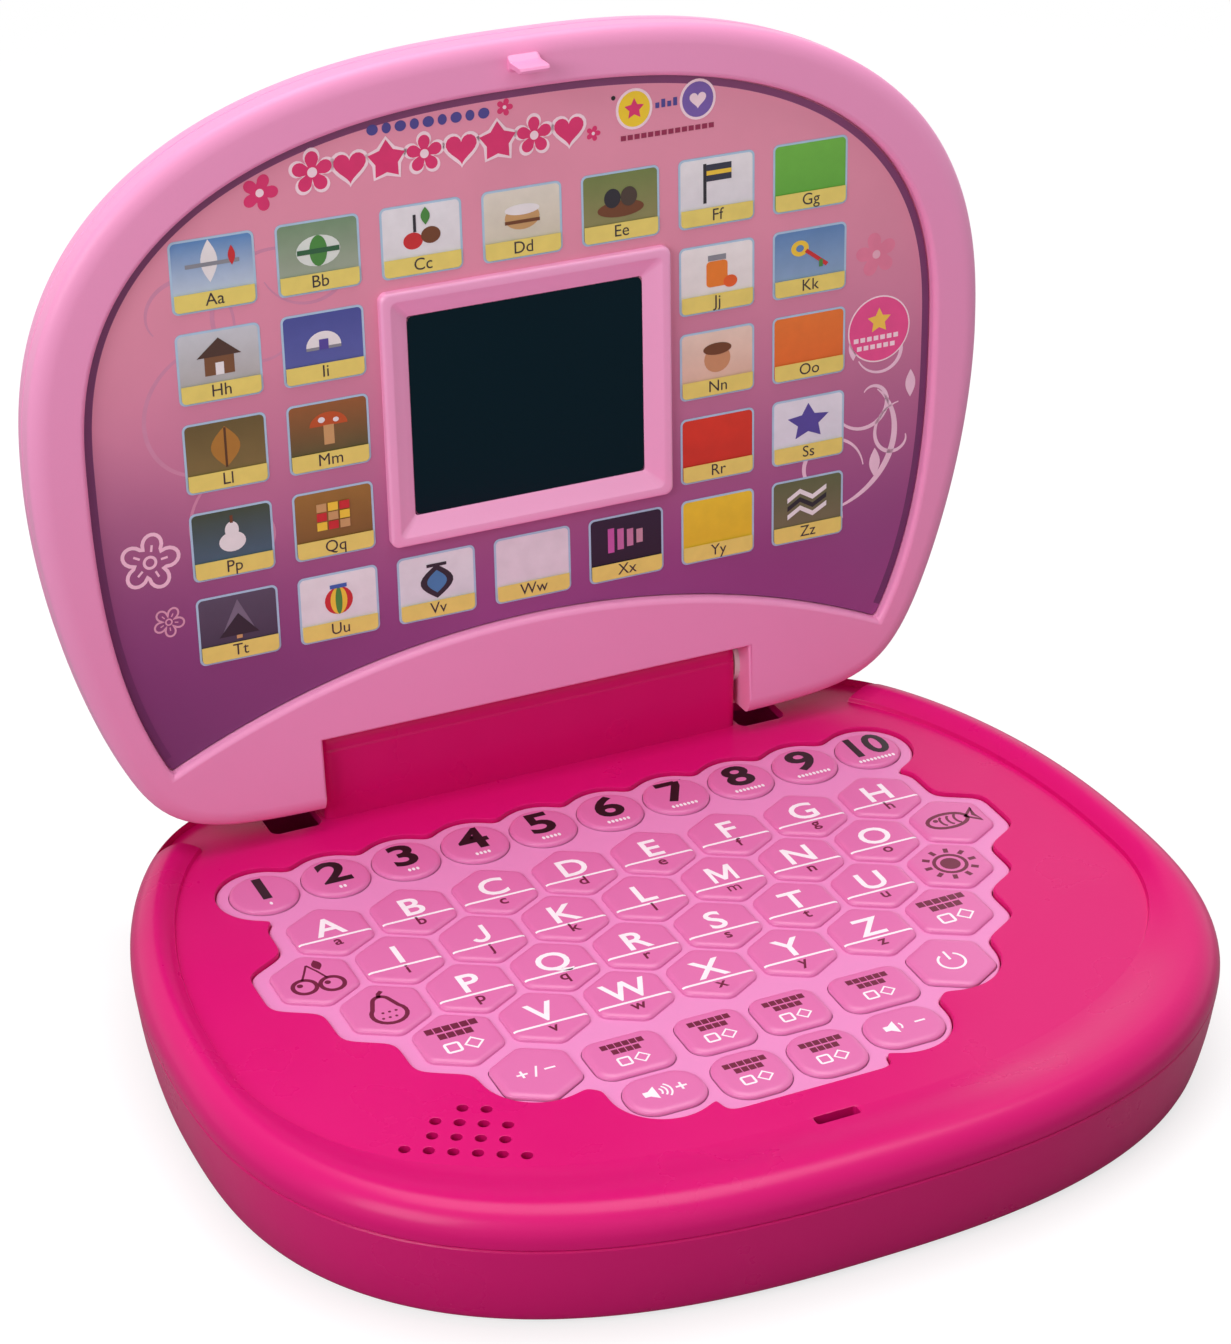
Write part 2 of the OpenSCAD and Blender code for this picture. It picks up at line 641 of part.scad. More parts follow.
module lid_back_shell() {
    ring = lid_ring();
    color("hotpink") place_lid() difference() {
        union() {
            difference() {
                union() {
                    intersection() {
                        loft(concat([for (k = lid_back_edge)
                            at_height(inset(ring, k[1]), back_z + k[0])], [at_height(ring, split_z)]));
                        lid_profile(face_off, back_z - 1);
                    }
                    both_sides() lobe_body(0.3, -face_off - 1, split_z, 0);
                }
                difference() {
                    union() {
                        prism(inset(ring, wall + 6), back_z + wall, back_z + 4.5);
                        intersection() {
                            prism(inset(ring, wall), back_z + 4.4, split_z + cut);
                            lid_profile(face_off - wall, back_z);
                        }
                        both_sides() lobe_body(0.3, -face_off - 1, split_z + 1, -wall);
                    }
                    notch(-wall);
                }
            }
            both_sides() intersection() {
                rod(lobe_x, lobe_x + ear_t, face_off - wall / 2);
                translate([0, -face_off, -face_off]) cube([lid_w, 2 * face_off, face_off + split_z]);
            }
            for (p = lid_screw_at) translate([p.x, p.y, back_z + 0.8])
                cylinder(r = post_r - 0.2, h = split_z - back_z - 0.8);
        }
        notch(0);
        both_sides() rod(lobe_x - cut, lobe_x + ear_t + cut, pin_r);
        for (p = lid_screw_at) translate([p.x, p.y, 0]) {
            translate([0, 0, back_z - 1]) cylinder(r = head_r + fit, h = 5);
            translate([0, 0, back_z]) cylinder(d = screw_d + 2 * screw_gap, h = 3 * face_off);
        }
    }
}
module display_panel() {
    color("mediumorchid") place_lid() translate([0, 0, tray_z]) difference() {
        linear_extrude(panel_t) recess_shape(-0.2);
        prism([for (p = plate_points(sheet_w + 0.2, sheet_h + 0.2, 1.5)) p + [0, lcd_y]],
            -cut, panel_t + cut);
    }
}
module lcd_bezel() {
    rise = bezel_z - panel_z;
    function frame(out, r) = plate_points(lcd_w + 2 * out, lcd_h + 2 * out, r);
    color("hotpink") place_lid() translate([0, lcd_y, panel_z]) difference() {
        loft([at_height(frame(bezel_w, 4), 0), at_height(frame(bezel_w, 4), rise - 0.9),
            at_height(frame(bezel_w - 0.3, 3.7), rise - 0.3), at_height(frame(bezel_w - 0.9, 3.1), rise)]);
        prism(frame(0, 1.5), -cut, bezel_low + cut);
        loft([at_height(frame(0, 1.5), bezel_low), at_height(frame(bezel_w - bezel_lip, 2.4), rise),
            at_height(frame(bezel_w - bezel_lip, 2.4), rise + 1)]);
    }
}
module lcd_window() {
    color("darkslategray") place_lid() translate([0, lcd_y, 0])
        prism(plate_points(sheet_w, sheet_h, 1.4), tray_z, panel_z);
}
module lcd_module() {
    color("darkslategray") place_lid() translate([0, lcd_y, 0])
        prism(plate_points(sheet_w + 2, sheet_h + 2, 0.5), tray_back - lcd_t, tray_back);
}
module lcd_board() {
    top = tray_back - lcd_t;
    color("darkgreen") place_lid() translate([0, lcd_y, 0]) difference() {
        prism(plate_points(lcd_board_size.x, lcd_board_size.y, 1.5), top - pcb_t, top);
        for (p = lcd_hole_at) translate([p.x, p.y - lcd_y, top - pcb_t - cut])
            cylinder(d = screw_d, h = pcb_t + 2 * cut);
    }
}
module lcd_screws() {
    top = tray_back - lcd_t - pcb_t;
    color("lightgray") place_lid() for (p = lcd_hole_at) translate([p.x, p.y, top])
        mirror([0, 0, 1]) screw(tray_z - 1 - top, screw_d - 0.6);
}
module lid_screws() {
    color("lightgray") place_lid() for (p = lid_screw_at)
        translate([p.x, p.y, back_z + 4]) mirror([0, 0, 1])
            screw(front_z - 1.6 - back_z - 4, screw_d - 0.2);
}
module hinge_pin() {
    difference() {
        union() {
            rod(block_w / 2 - wall - 3, lobe_x + ear_t + cut, pin_r);
            rod(lobe_x + ear_t, lobe_x + ear_t + 1.6, pin_r + 1.5);
        }
        rod(block_w / 2 - wall - 4, lobe_x + ear_t + 2, pin_r - 1.4);
    }
}
module hinge_pin_right() {
    color("silver") place_lid() hinge_pin();
}
module hinge_pin_left() {
    color("silver") place_lid() mirror([1, 0, 0]) hinge_pin();
}
module friction_rings() {
    color("white") place_lid() both_sides() difference() {
        rod(lobe_x - side_gap + 0.1, lobe_x, pin_r + 2.4);
        rod(lobe_x - side_gap, lobe_x + cut, pin_r);
    }
}
module display_cable() {
    bend = [lobe_x + ear_t + cable_bend, 0, 0];
    top = [lcd_board_size.x / 2 - cable_in.x, lcd_y - lcd_board_size.y / 2 + cable_in.y,
        tray_back - lcd_t - pcb_t - cable_r - screw_gap];
    run = top - bend;
    color("dimgray") place_lid() {
        rod(block_w / 2 - 12, bend.x, cable_r);
        translate(bend) sphere(r = cable_r);
        translate(bend) rotate([0, acos(run.z / norm(run)), atan2(run.y, run.x)])
            cylinder(r = cable_r, h = norm(run));
    }
}

base_upper_shell();
base_lower_shell();
battery_door();
rubber_feet();
keypad_overlay();
contact_film();
digit_key(0);  // digit_key_1
digit_key(1);  // digit_key_2
digit_key(2);  // digit_key_3
digit_key(3);  // digit_key_4
digit_key(4);  // digit_key_5
digit_key(5);  // digit_key_6
digit_key(6);  // digit_key_7
digit_key(7);  // digit_key_8
digit_key(8);  // digit_key_9
digit_key(9);  // digit_key_10
command_key(0);  // plus_minus_key
command_key(1);  // music_key
command_key(2);  // letter_key
command_key(3);  // word_key
command_key(4);  // singing_key
command_key(5);  // power_key
command_key(6);  // volume_up_key
command_key(7);  // spelling_key
command_key(8);  // question_key
command_key(9);  // volume_down_key
main_board();
board_screws();
speaker();
battery(0);  // battery_1
battery(1);  // battery_2
battery(2);  // battery_3
battery_springs();
battery_plates();
case_screws();
lid_front_shell();
lid_back_shell();
display_panel();
lcd_bezel();
lcd_window();
lcd_module();
lcd_board();
lcd_screws();
lid_screws();
hinge_pin_left();
hinge_pin_right();
friction_rings();
display_cable();
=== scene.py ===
# %% [markdown]
# # Dressing a pink toy laptop
#
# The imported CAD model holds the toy's true sizes, its hinge and its sprung keys. This
# lesson keeps those and gives each visible part its finished surface: smooth moulded
# shells, a soft keypad film, printed cards, screws and gloss. The first lines load the
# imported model; everything after them is placed from it.

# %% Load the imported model
import json
import math

import bmesh
import bpy
import numpy as np
from mathutils import Matrix, Vector


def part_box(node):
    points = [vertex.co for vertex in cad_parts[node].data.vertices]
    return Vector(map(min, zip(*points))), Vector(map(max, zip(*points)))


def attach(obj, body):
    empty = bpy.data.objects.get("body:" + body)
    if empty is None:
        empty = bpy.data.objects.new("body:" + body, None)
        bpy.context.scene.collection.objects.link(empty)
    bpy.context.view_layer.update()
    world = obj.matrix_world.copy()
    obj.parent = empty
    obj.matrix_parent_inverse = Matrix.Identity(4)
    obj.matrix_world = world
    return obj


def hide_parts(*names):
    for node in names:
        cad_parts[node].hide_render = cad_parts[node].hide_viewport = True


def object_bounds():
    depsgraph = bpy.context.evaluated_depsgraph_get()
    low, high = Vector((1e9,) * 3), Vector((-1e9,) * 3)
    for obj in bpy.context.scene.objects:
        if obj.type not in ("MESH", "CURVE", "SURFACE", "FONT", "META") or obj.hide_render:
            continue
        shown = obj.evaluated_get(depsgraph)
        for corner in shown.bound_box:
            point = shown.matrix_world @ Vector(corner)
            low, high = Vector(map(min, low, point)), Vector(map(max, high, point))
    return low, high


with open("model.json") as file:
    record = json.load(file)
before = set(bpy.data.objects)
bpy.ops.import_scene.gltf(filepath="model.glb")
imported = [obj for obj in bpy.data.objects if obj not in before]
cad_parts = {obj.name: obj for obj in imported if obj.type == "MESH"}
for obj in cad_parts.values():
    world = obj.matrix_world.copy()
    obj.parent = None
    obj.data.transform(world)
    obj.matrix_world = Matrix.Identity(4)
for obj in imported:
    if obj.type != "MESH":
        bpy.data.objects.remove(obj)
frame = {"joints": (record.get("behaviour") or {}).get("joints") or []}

cad_low, cad_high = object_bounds()
MM = 0.001
print("CAD box in mm:", [round(v / MM, 1) for v in (*cad_low, *cad_high)])

# %% [markdown]
# ## Camera
#
# A toy is usually shown from a child's seat: in front, a little to the left, looking
# down. A long lens keeps the two halves of the laptop in proportion. The camera is
# given by where it stands, how far it turns and how far it looks down, so that it
# holds no roll.

# %% The camera
camera_at = Vector((-263.5, -537.8, 412.5)) * MM
camera_turn = -24.87
camera_pitch = -28.55
camera_data = bpy.data.cameras.new("view")
camera_data.lens = 89.74
camera_data.sensor_width = 36
camera = bpy.data.objects.new("view", camera_data)
camera.location = camera_at
camera.rotation_euler = (math.radians(90 + camera_pitch), 0, math.radians(camera_turn))
bpy.context.scene.collection.objects.link(camera)
bpy.context.scene.camera = camera

# %% [markdown]
# ## Floor, background and lamps
#
# The toy stands on a white sweep. Mirrors and glass should see white too, so camera,
# glossy and transmission rays get a background of strength 1, while the light that
# reaches the toy comes from a dimmer world and three large soft lamps. The floor is
# part diffuse and part glow for the camera alone: it reads as white and still keeps
# the soft shadow under the toy. Far from the toy it is plain white.

# %% Small helpers for node trees
def new_material(name):
    """An empty node material and its node tree."""
    made = bpy.data.materials.new(name)
    made.use_nodes = True
    made.node_tree.nodes.clear()
    return made, made.node_tree


def add_node(tree, kind, **values):
    """A node with its sockets set by name, or linked where the value is a socket."""
    node = tree.nodes.new(kind)
    for key, value in values.items():
        if key in node.inputs:
            put(tree, node.inputs[key], value)
        elif key.replace("_", " ") in node.inputs:
            put(tree, node.inputs[key.replace("_", " ")], value)
        else:
            setattr(node, key, value)
    return node


def put(tree, socket, value):
    """Links a socket to a socket, or sets it to a number or colour."""
    if isinstance(value, bpy.types.NodeSocket):
        tree.links.new(value, socket)
    else:
        socket.default_value = value


def linear(red, green, blue):
    """A screen colour of 0 to 255 a channel as linear light, for a node socket."""
    share = [value / 255 for value in (red, green, blue)]
    curve = [v / 12.92 if v <= 0.04045 else ((v + 0.055) / 1.055) ** 2.4 for v in share]
    return (*curve, 1.0)


# %% Helpers that mix and end a tree
def mix_colours(tree, share, low, high):
    """The first colour where the share is 0 and the second where it is 1."""
    mix = add_node(tree, "ShaderNodeMix", data_type="RGBA", Factor=share, A=low, B=high)
    return mix.outputs["Result"]


def mix_shaders(tree, share, low, high):
    """The same for two shaders."""
    mix = add_node(tree, "ShaderNodeMixShader")
    for socket, value in zip(mix.inputs, (share, low, high)):
        put(tree, socket, value)
    return mix.outputs[0]


def spread(tree, value, low, high, to_low=0.0, to_high=1.0, **more):
    """Maps the range from low to high onto another range."""
    node = add_node(tree, "ShaderNodeMapRange", Value=value, From_Min=low, From_Max=high,
                    To_Min=to_low, To_Max=to_high, **more)
    return node.outputs["Result"]


def calculate(tree, operation, *values):
    """One step of arithmetic on numbers or sockets."""
    node = add_node(tree, "ShaderNodeMath", operation=operation)
    for socket, value in zip(node.inputs, values):
        put(tree, socket, value)
    return node.outputs[0]


def end_tree(tree, shader, kind="Material"):
    """Links a shader to the output of a material or a world."""
    put(tree, add_node(tree, f"ShaderNodeOutput{kind}").inputs["Surface"], shader)


# %% World: white to look at, dimmer as a light
WHITE = (1, 1, 1, 1)


def make_world(light_strength):
    """White for rays that look at it, and a dimmer light for the rest."""
    world = bpy.data.worlds.new("white_room")
    bpy.context.scene.world = world
    world.use_nodes = True
    tree = world.node_tree
    tree.nodes.clear()
    path = add_node(tree, "ShaderNodeLightPath").outputs
    seen = calculate(tree, "MAXIMUM", path["Is Camera Ray"], path["Is Glossy Ray"])
    every = calculate(tree, "MAXIMUM", seen, path["Is Transmission Ray"])
    lamp, plain = (add_node(tree, "ShaderNodeBackground", Color=WHITE, Strength=strength)
                   for strength in (light_strength, 1.0))
    end_tree(tree, mix_shaders(tree, every, lamp.outputs[0], plain.outputs[0]), "World")


make_world(light_strength=0.3)
bpy.context.scene.view_settings.view_transform = "Standard"


# %% Floor
def floor_material(glow, diffuse_share, bounce_share, fade_from, fade_to):
    """Part diffuse and part glow near the toy, plain white far from it."""
    material, tree = new_material("white_floor")
    path = add_node(tree, "ShaderNodeLightPath").outputs
    bounce = add_node(tree, "ShaderNodeBsdfDiffuse", Color=(*[bounce_share] * 3, 1))
    dim = add_node(tree, "ShaderNodeBsdfDiffuse", Color=(*[diffuse_share] * 3, 1))
    light = add_node(tree, "ShaderNodeEmission", Color=WHITE, Strength=glow)
    seen = add_node(tree, "ShaderNodeAddShader")
    put(tree, seen.inputs[0], dim.outputs[0])
    put(tree, seen.inputs[1], light.outputs[0])
    near = mix_shaders(tree, path["Is Camera Ray"], bounce.outputs[0], seen.outputs[0])
    away = add_node(tree, "ShaderNodeVectorMath", operation="LENGTH")
    position = add_node(tree, "ShaderNodeNewGeometry").outputs["Position"]
    put(tree, away.inputs[0], position)
    far = spread(tree, away.outputs["Value"], fade_from, fade_to)
    white = add_node(tree, "ShaderNodeEmission", Color=WHITE, Strength=1.0)
    end_tree(tree, mix_shaders(tree, far, near, white.outputs[0]))
    return material


def make_floor(size, material):
    """A square sheet under the toy, which belongs to the stage."""
    mesh = bpy.data.meshes.new("floor")
    half = size / 2
    corners = [(-half, -half, 0), (half, -half, 0), (half, half, 0), (-half, half, 0)]
    mesh.from_pydata(corners, [], [(0, 1, 2, 3)])
    mesh.materials.append(material)
    floor = bpy.data.objects.new("floor", mesh)
    bpy.context.scene.collection.objects.link(floor)


make_floor(6, floor_material(glow=0.72, diffuse_share=0.34, bounce_share=0.35,
                             fade_from=0.35, fade_to=0.9))


# %% Lamps
def soft_lamp(name, stand, aim, width, power):
    """A square area lamp at a point, in metres, turned to an aim point."""
    data = bpy.data.lights.new(name, "AREA")
    data.size = width
    data.energy = power
    lamp = bpy.data.objects.new(name, data)
    lamp.location = stand
    lamp.rotation_euler = (Vector(aim) - Vector(stand)).to_track_quat("-Z", "Y").to_euler()
    bpy.context.scene.collection.objects.link(lamp)


toy_middle = (cad_low + cad_high) / 2
soft_lamp("overhead", (0.1, 0.15, 1.3), toy_middle, 1.0, 12.5)
soft_lamp("left_side", (-0.8, -0.4, 0.6), toy_middle, 0.5, 4.3)
soft_lamp("front", (-0.3, -1.3, 1.0), toy_middle, 1.0, 1)
print("lamps and floor ready")

# %% [markdown]
# ## Sizes of the toy
#
# Sizes are in millimetres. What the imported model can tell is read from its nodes:
# the width of the base, the height of its seam, the key tops. The rest are the
# shape numbers that the moulds follow, such as the fullness of an outline. An
# outline is a superellipse: exponent 2 is an ellipse, and a larger one is squarer.

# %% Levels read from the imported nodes
def box_mm(node):
    """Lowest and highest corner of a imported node, in millimetres."""
    low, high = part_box(node)
    return [v / MM for v in low], [v / MM for v in high]


upper_low, upper_high = box_mm("base_upper_shell")
lower_low, lower_high = box_mm("base_lower_shell")
hinge = next(j for j in frame["joints"] if j["name"] == "lid_hinge")
hinge_y, hinge_z = hinge["pos_m"][1] / MM, hinge["pos_m"][2] / MM

half_width = upper_high[0]
half_depth = -upper_low[1]
seam_z = lower_high[2]
bottom_z = lower_low[2]
key_top_z = box_mm("keypad_overlay")[1][2]
print("half width and depth:", round(half_width, 1), round(half_depth, 1))

# %% Shape numbers of the base
RING = 360    # points of a shell outline
FAR = 200     # past the toy, for cutters
wall = 2.2
key_rise = 1.0
film_drop = 0.9
film_z = key_top_z - key_rise
film_floor_z = film_z - 2.1
contact_z = film_floor_z - 0.3
deck_z = film_z + film_drop
roof_z = deck_z - wall
floor_z = bottom_z + wall
mate_z = seam_z - 6
crest_z = deck_z + 3.5
rim_w = 9.4
rim_step = 1.2
lip_w = 22
base_mid = -2.5
base_front_n = 2.52
base_rear_n = 2.19
base_rear_reach = 125.5
corner_n = 14


# %% Outlines and insets
def superellipse(c, s, half, reach, power):
    """1 over how far a ray with this cosine and sine runs inside the curve."""
    return (np.abs(c / half) ** power + np.abs(s / reach) ** power) ** (1 / power)


def oval_ring(half, low, low_n, high, high_n, low_cut, high_cut, centre=(0, 0)):
    """Closed outline of two superellipse halves, each with a rounded straight cut."""
    turn = np.arange(RING) * 2 * np.pi / RING
    c, s = np.cos(turn), np.sin(turn)
    shape = np.where(s < 0, superellipse(c, s, half, low, low_n),
                     superellipse(c, s, half, high, high_n))
    cut = np.abs(np.where(s < 0, s / low_cut, s / high_cut))
    reach = 1 / (shape ** corner_n + cut ** corner_n) ** (1 / corner_n)
    return np.stack([reach * c, reach * s], 1) + np.array(centre, float)


def inset(ring, distance):
    """The closed ring moved inwards by one distance, or by one for each point."""
    along = np.roll(ring, -1, 0) - np.roll(ring, 1, 0)
    along /= np.linalg.norm(along, axis=1)[:, None]
    inwards = np.stack([-along[:, 1], along[:, 0]], 1)
    return ring + inwards * np.broadcast_to(distance, len(ring))[:, None]


def smooth_step(start, end, value):
    """A soft change from 0 at the start to 1 at the end."""
    share = np.clip((value - start) / (end - start), 0, 1)
    return share * share * (3 - 2 * share)


base_ring = oval_ring(half_width, half_depth + base_mid, base_front_n, base_rear_reach,
                      base_rear_n, 2 * half_depth, half_depth - base_mid, centre=(0, base_mid))
print("base outline:", len(base_ring), "points")

# %% [markdown]
# ## From outlines to solids
#
# A moulded shell is a stack of outlines joined by walls, which modellers call a loft.
# Openings are cut with the Boolean modifier, and the cut edges get a small radius as
# a real mould gives them. Three helpers do this for every part: one joins rings, one
# cuts, and one rounds chosen edges.

# %% Mesh helpers
def new_piece(name, points, faces):
    """A mesh object from points in millimetres."""
    mesh = bpy.data.meshes.new(name)
    mesh.from_pydata([tuple(p) for p in np.asarray(points, float) * MM], [], faces)
    piece = bpy.data.objects.new(name, mesh)
    bpy.context.scene.collection.objects.link(piece)
    return piece


def at_height(ring, height):
    """Points of a flat ring at one height, or at one for each point."""
    return np.column_stack([ring, np.broadcast_to(height, len(ring))])


def ring_faces(count, levels, closed=True):
    """Walls between stacked rings, and flat caps at both ends."""
    walls = [(level * count + i, level * count + (i + 1) % count,
              (level + 1) * count + (i + 1) % count, (level + 1) * count + i)
             for level in range(levels - 1) for i in range(count)]
    caps = [tuple(reversed(range(count))), tuple(range((levels - 1) * count, levels * count))]
    return walls + caps if closed else walls


def loft(name, rings):
    """A closed solid through a stack of rings that run anticlockwise, lowest first."""
    return new_piece(name, np.concatenate(rings), ring_faces(len(rings[0]), len(rings)))


def prism(name, ring, low, high):
    """A flat outline drawn straight up."""
    return loft(name, [at_height(ring, low), at_height(ring, high)])


def circle_ring(radius, count=48, centre=(0, 0)):
    """A circle, anticlockwise."""
    turn = np.arange(count) * 2 * np.pi / count
    return np.stack([np.cos(turn), np.sin(turn)], 1) * radius + np.array(centre, float)


def plate_ring(width, height, radius, steps=8, centre=(0, 0)):
    """Rectangle with rounded corners, anticlockwise."""
    points = []
    for corner in range(4):
        side_x = 1 if corner in (0, 3) else -1
        side_y = 1 if corner < 2 else -1
        for step in range(steps + 1):
            turn = math.pi / 2 * (corner + step / steps)
            points.append((side_x * (width / 2 - radius) + radius * math.cos(turn),
                           side_y * (height / 2 - radius) + radius * math.sin(turn)))
    return np.array(points) + np.array(centre, float)


def rod(name, start, end, radius, count=48):
    """A cylinder along X."""
    ring = circle_ring(radius, count)
    ends = [np.column_stack([np.full(count, x), ring]) for x in (start, end)]
    return loft(name, ends)


def block(name, low, high):
    """A box between two corners, to cut with."""
    ring = np.array([(low[0], low[1]), (high[0], low[1]), (high[0], high[1]), (low[0], high[1])])
    return prism(name, ring, low[2], high[2])


# %% Cutting, joining and placing
def evaluated_mesh(piece):
    """The piece's mesh with its modifiers applied."""
    graph = bpy.context.evaluated_depsgraph_get()
    return bpy.data.meshes.new_from_object(piece.evaluated_get(graph))


def settle(piece):
    """Applies the piece's modifiers to its own mesh."""
    mesh = evaluated_mesh(piece)
    piece.modifiers.clear()
    piece.data = mesh
    return piece


def merged(name, parts):
    """Several objects as one mesh object; the parts are removed."""
    joined = bmesh.new()
    for part in parts:
        joined.from_mesh(part.data)
        bpy.data.objects.remove(part)
    mesh = bpy.data.meshes.new(name)
    joined.to_mesh(mesh)
    joined.free()
    piece = bpy.data.objects.new(name, mesh)
    bpy.context.scene.collection.objects.link(piece)
    return piece


def mend_normals(piece):
    """Turns all faces outwards."""
    work = bmesh.new()
    work.from_mesh(piece.data)
    bmesh.ops.recalc_face_normals(work, faces=work.faces)
    work.to_mesh(piece.data)
    work.free()
    return piece


def carve(piece, cutter, operation="DIFFERENCE"):
    """Cuts, joins or keeps the overlap with a second solid, which is used up."""
    change = piece.modifiers.new("carve", "BOOLEAN")
    change.operation = operation
    change.solver = "MANIFOLD"
    change.object = cutter
    settle(piece)
    bpy.data.objects.remove(cutter)
    return piece


def round_edges(piece, pick, radius, steps=3, least_angle=25):
    """Rounds the edges whose two ends, in millimetres, the test picks."""
    work = bmesh.new()
    work.from_mesh(piece.data)
    bmesh.ops.dissolve_degenerate(work, dist=1e-7, edges=work.edges)
    chosen = [e for e in work.edges if len(e.link_faces) == 2
              and e.calc_face_angle(0) > math.radians(least_angle)
              and pick(e.verts[0].co / MM, e.verts[1].co / MM)]
    bmesh.ops.bevel(work, geom=chosen, offset=radius * MM, offset_type="OFFSET",
                    segments=steps, profile=0.5, affect="EDGES", clamp_overlap=False)
    work.to_mesh(piece.data)
    work.free()
    print("  rounded", len(chosen), "edges of", piece.name)
    return piece


def place(piece, matrix):
    """Moves the mesh itself, so that its object stays at the origin."""
    piece.data.transform(matrix)
    piece.data.update()
    return piece


# %% Handing a finished piece over
def shade(piece, crease=32):
    """Smooth shading with hard edges past the crease angle, weighted by face size."""
    work = bmesh.new()
    work.from_mesh(piece.data)
    bmesh.ops.recalc_face_normals(work, faces=work.faces)
    for edge in work.edges:
        edge.smooth = edge.calc_face_angle(0) < math.radians(crease)
    for face in work.faces:
        face.smooth = True
    work.to_mesh(piece.data)
    work.free()
    weight = piece.modifiers.new("even_shading", "WEIGHTED_NORMAL")
    weight.keep_sharp = True
    return piece


def hand_over(piece, body, material, stands_for=()):
    """Gives a piece its finish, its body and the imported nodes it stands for."""
    piece.data.materials.clear()
    piece.data.materials.append(material)
    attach(piece, body)
    if stands_for:
        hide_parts(*stands_for)
    low = np.min([v.co for v in piece.data.vertices], 0) / MM
    high = np.max([v.co for v in piece.data.vertices], 0) / MM
    print(f"{piece.name}: {len(piece.data.polygons)} faces,",
          "mm", np.round(low, 1), "to", np.round(high, 1))
    return piece


# %% [markdown]
# ## Moulded plastic
#
# The shells are injection-moulded ABS. Close up, such plastic is never one colour:
# the pigment flows in faint clouds, the gloss changes where hands have been, and the
# surface carries a very fine ripple. One material recipe gives each part its two
# near-by colours, its range of roughness and its ripple, all from noise on the
# part's own coordinates.

# %% A recipe for moulded plastic
def moulded_plastic(name, light, deep, rough=(0.24, 0.36), ripple=0.02, clouds=14,
                    coat=0.06, specular=0.36, metal=0.0):
    """Two near-by colours in soft clouds, a changing gloss and a fine ripple."""
    material, tree = new_material(name)
    where = add_node(tree, "ShaderNodeTexCoord").outputs["Object"]
    cloud = add_node(tree, "ShaderNodeTexNoise", Vector=where, Scale=clouds, Detail=4.0)
    smear = add_node(tree, "ShaderNodeTexNoise", Vector=where, Scale=clouds * 3.1, Detail=6.0)
    fine = add_node(tree, "ShaderNodeTexNoise", Vector=where, Scale=900, Detail=2.0)
    bump = add_node(tree, "ShaderNodeBump", Strength=ripple, Distance=0.001,
                    Height=fine.outputs["Fac"])
    gloss = spread(tree, smear.outputs["Fac"], 0.25, 0.75, *rough, clamp=False)
    surface = add_node(tree, "ShaderNodeBsdfPrincipled", Roughness=gloss, Metallic=metal,
                       Base_Color=mix_colours(tree, cloud.outputs["Fac"], light, deep),
                       Normal=bump.outputs["Normal"], Specular_IOR_Level=specular,
                       Coat_Weight=coat, Coat_Roughness=0.12)
    end_tree(tree, surface.outputs["BSDF"])
    return material


base_plastic = moulded_plastic("base_plastic", linear(220, 16, 118), linear(212, 12, 108),
                               coat=0.03, specular=0.2)
lid_plastic = moulded_plastic("lid_plastic", linear(248, 160, 205), linear(242, 151, 198),
                              rough=(0.34, 0.46), coat=0.05)
print("plastics ready")

# %% [markdown]
# ## Base, upper shell
#
# The upper shell is a shallow dish turned over: a side wall, a rounded edge, and a
# rim that slopes in to the deck. Along the sides it ends in a small step, and at the
# front it runs out in a wide soft slope. A loft follows all of that, because each ring
# may have its own inset and height at every point. The block that carries the hinge
# pins grows out of the deck, so it is joined to the shell before the openings are cut.
# Each cutter flares a little at its top, which leaves the small chamfer of a mould.

# %% Rings from the seam to the deck
edge_round = 6
edge_steps = 12
slope_steps = 7
front_share = smooth_step(-10, -half_depth, base_ring[:, 1])
step_share = 1 - smooth_step(-30, -62, base_ring[:, 1])
crease_at = rim_w + (lip_w - rim_w) * front_share


def upper_rings():
    """Rings of the upper shell from the seam to the middle of the deck."""
    side_top = seam_z + 0.8
    rings = [at_height(inset(base_ring, 0.55), seam_z),
             at_height(inset(base_ring, 0.2), seam_z + 0.12),
             at_height(base_ring, seam_z + 0.4)]
    for step in range(edge_steps + 1):
        turn = math.pi / 2 * step / edge_steps
        rings.append(at_height(inset(base_ring, edge_round * (1 - math.cos(turn))),
                               side_top + (crest_z - side_top) * math.sin(turn)))
    foot = deck_z + rim_step * step_share
    for step in range(1, slope_steps + 1):
        share = step / slope_steps
        side = 0.35 * share + 0.65 * share ** 2
        ease = side + (smooth_step(0, 1, share) - side) * front_share
        rings.append(at_height(inset(base_ring, edge_round + (crease_at - edge_round) * share),
                               crest_z - (crest_z - foot) * ease))
    for further, height in ((0.18, 0.93), (0.3, 0.75), (0.42, 0.25), (0.55, 0.06), (0.8, 0)):
        rings.append(at_height(inset(base_ring, crease_at + further),
                               deck_z + (foot - deck_z) * height))
    rings += [at_height(inset(base_ring, crease_at + 0.8) * share, deck_z)
              for share in (0.85, 0.7, 0.5, 0.3, 0.02)]
    return rings


base_upper = loft("base_upper_skin", upper_rings())
print("upper shell:", len(base_upper.data.polygons), "faces")

# %% Pocket for the lid lobes behind the rim
pocket_y = half_depth - 20.2
pocket = prism("pocket", inset(base_ring, 2), deck_z - 0.04, crest_z + 1)
carve(pocket, block("pocket_part", (-FAR, pocket_y, 0), (FAR, FAR, FAR)), "INTERSECT")
carve(base_upper, pocket)

# %% The hinge block
hinge_round = 3.5
block_half = 51.3
block_face = 6.5
block_rear = 7.25
block_end_round = 2.2
ledge_z = 2.1
ledge_in = 0.35


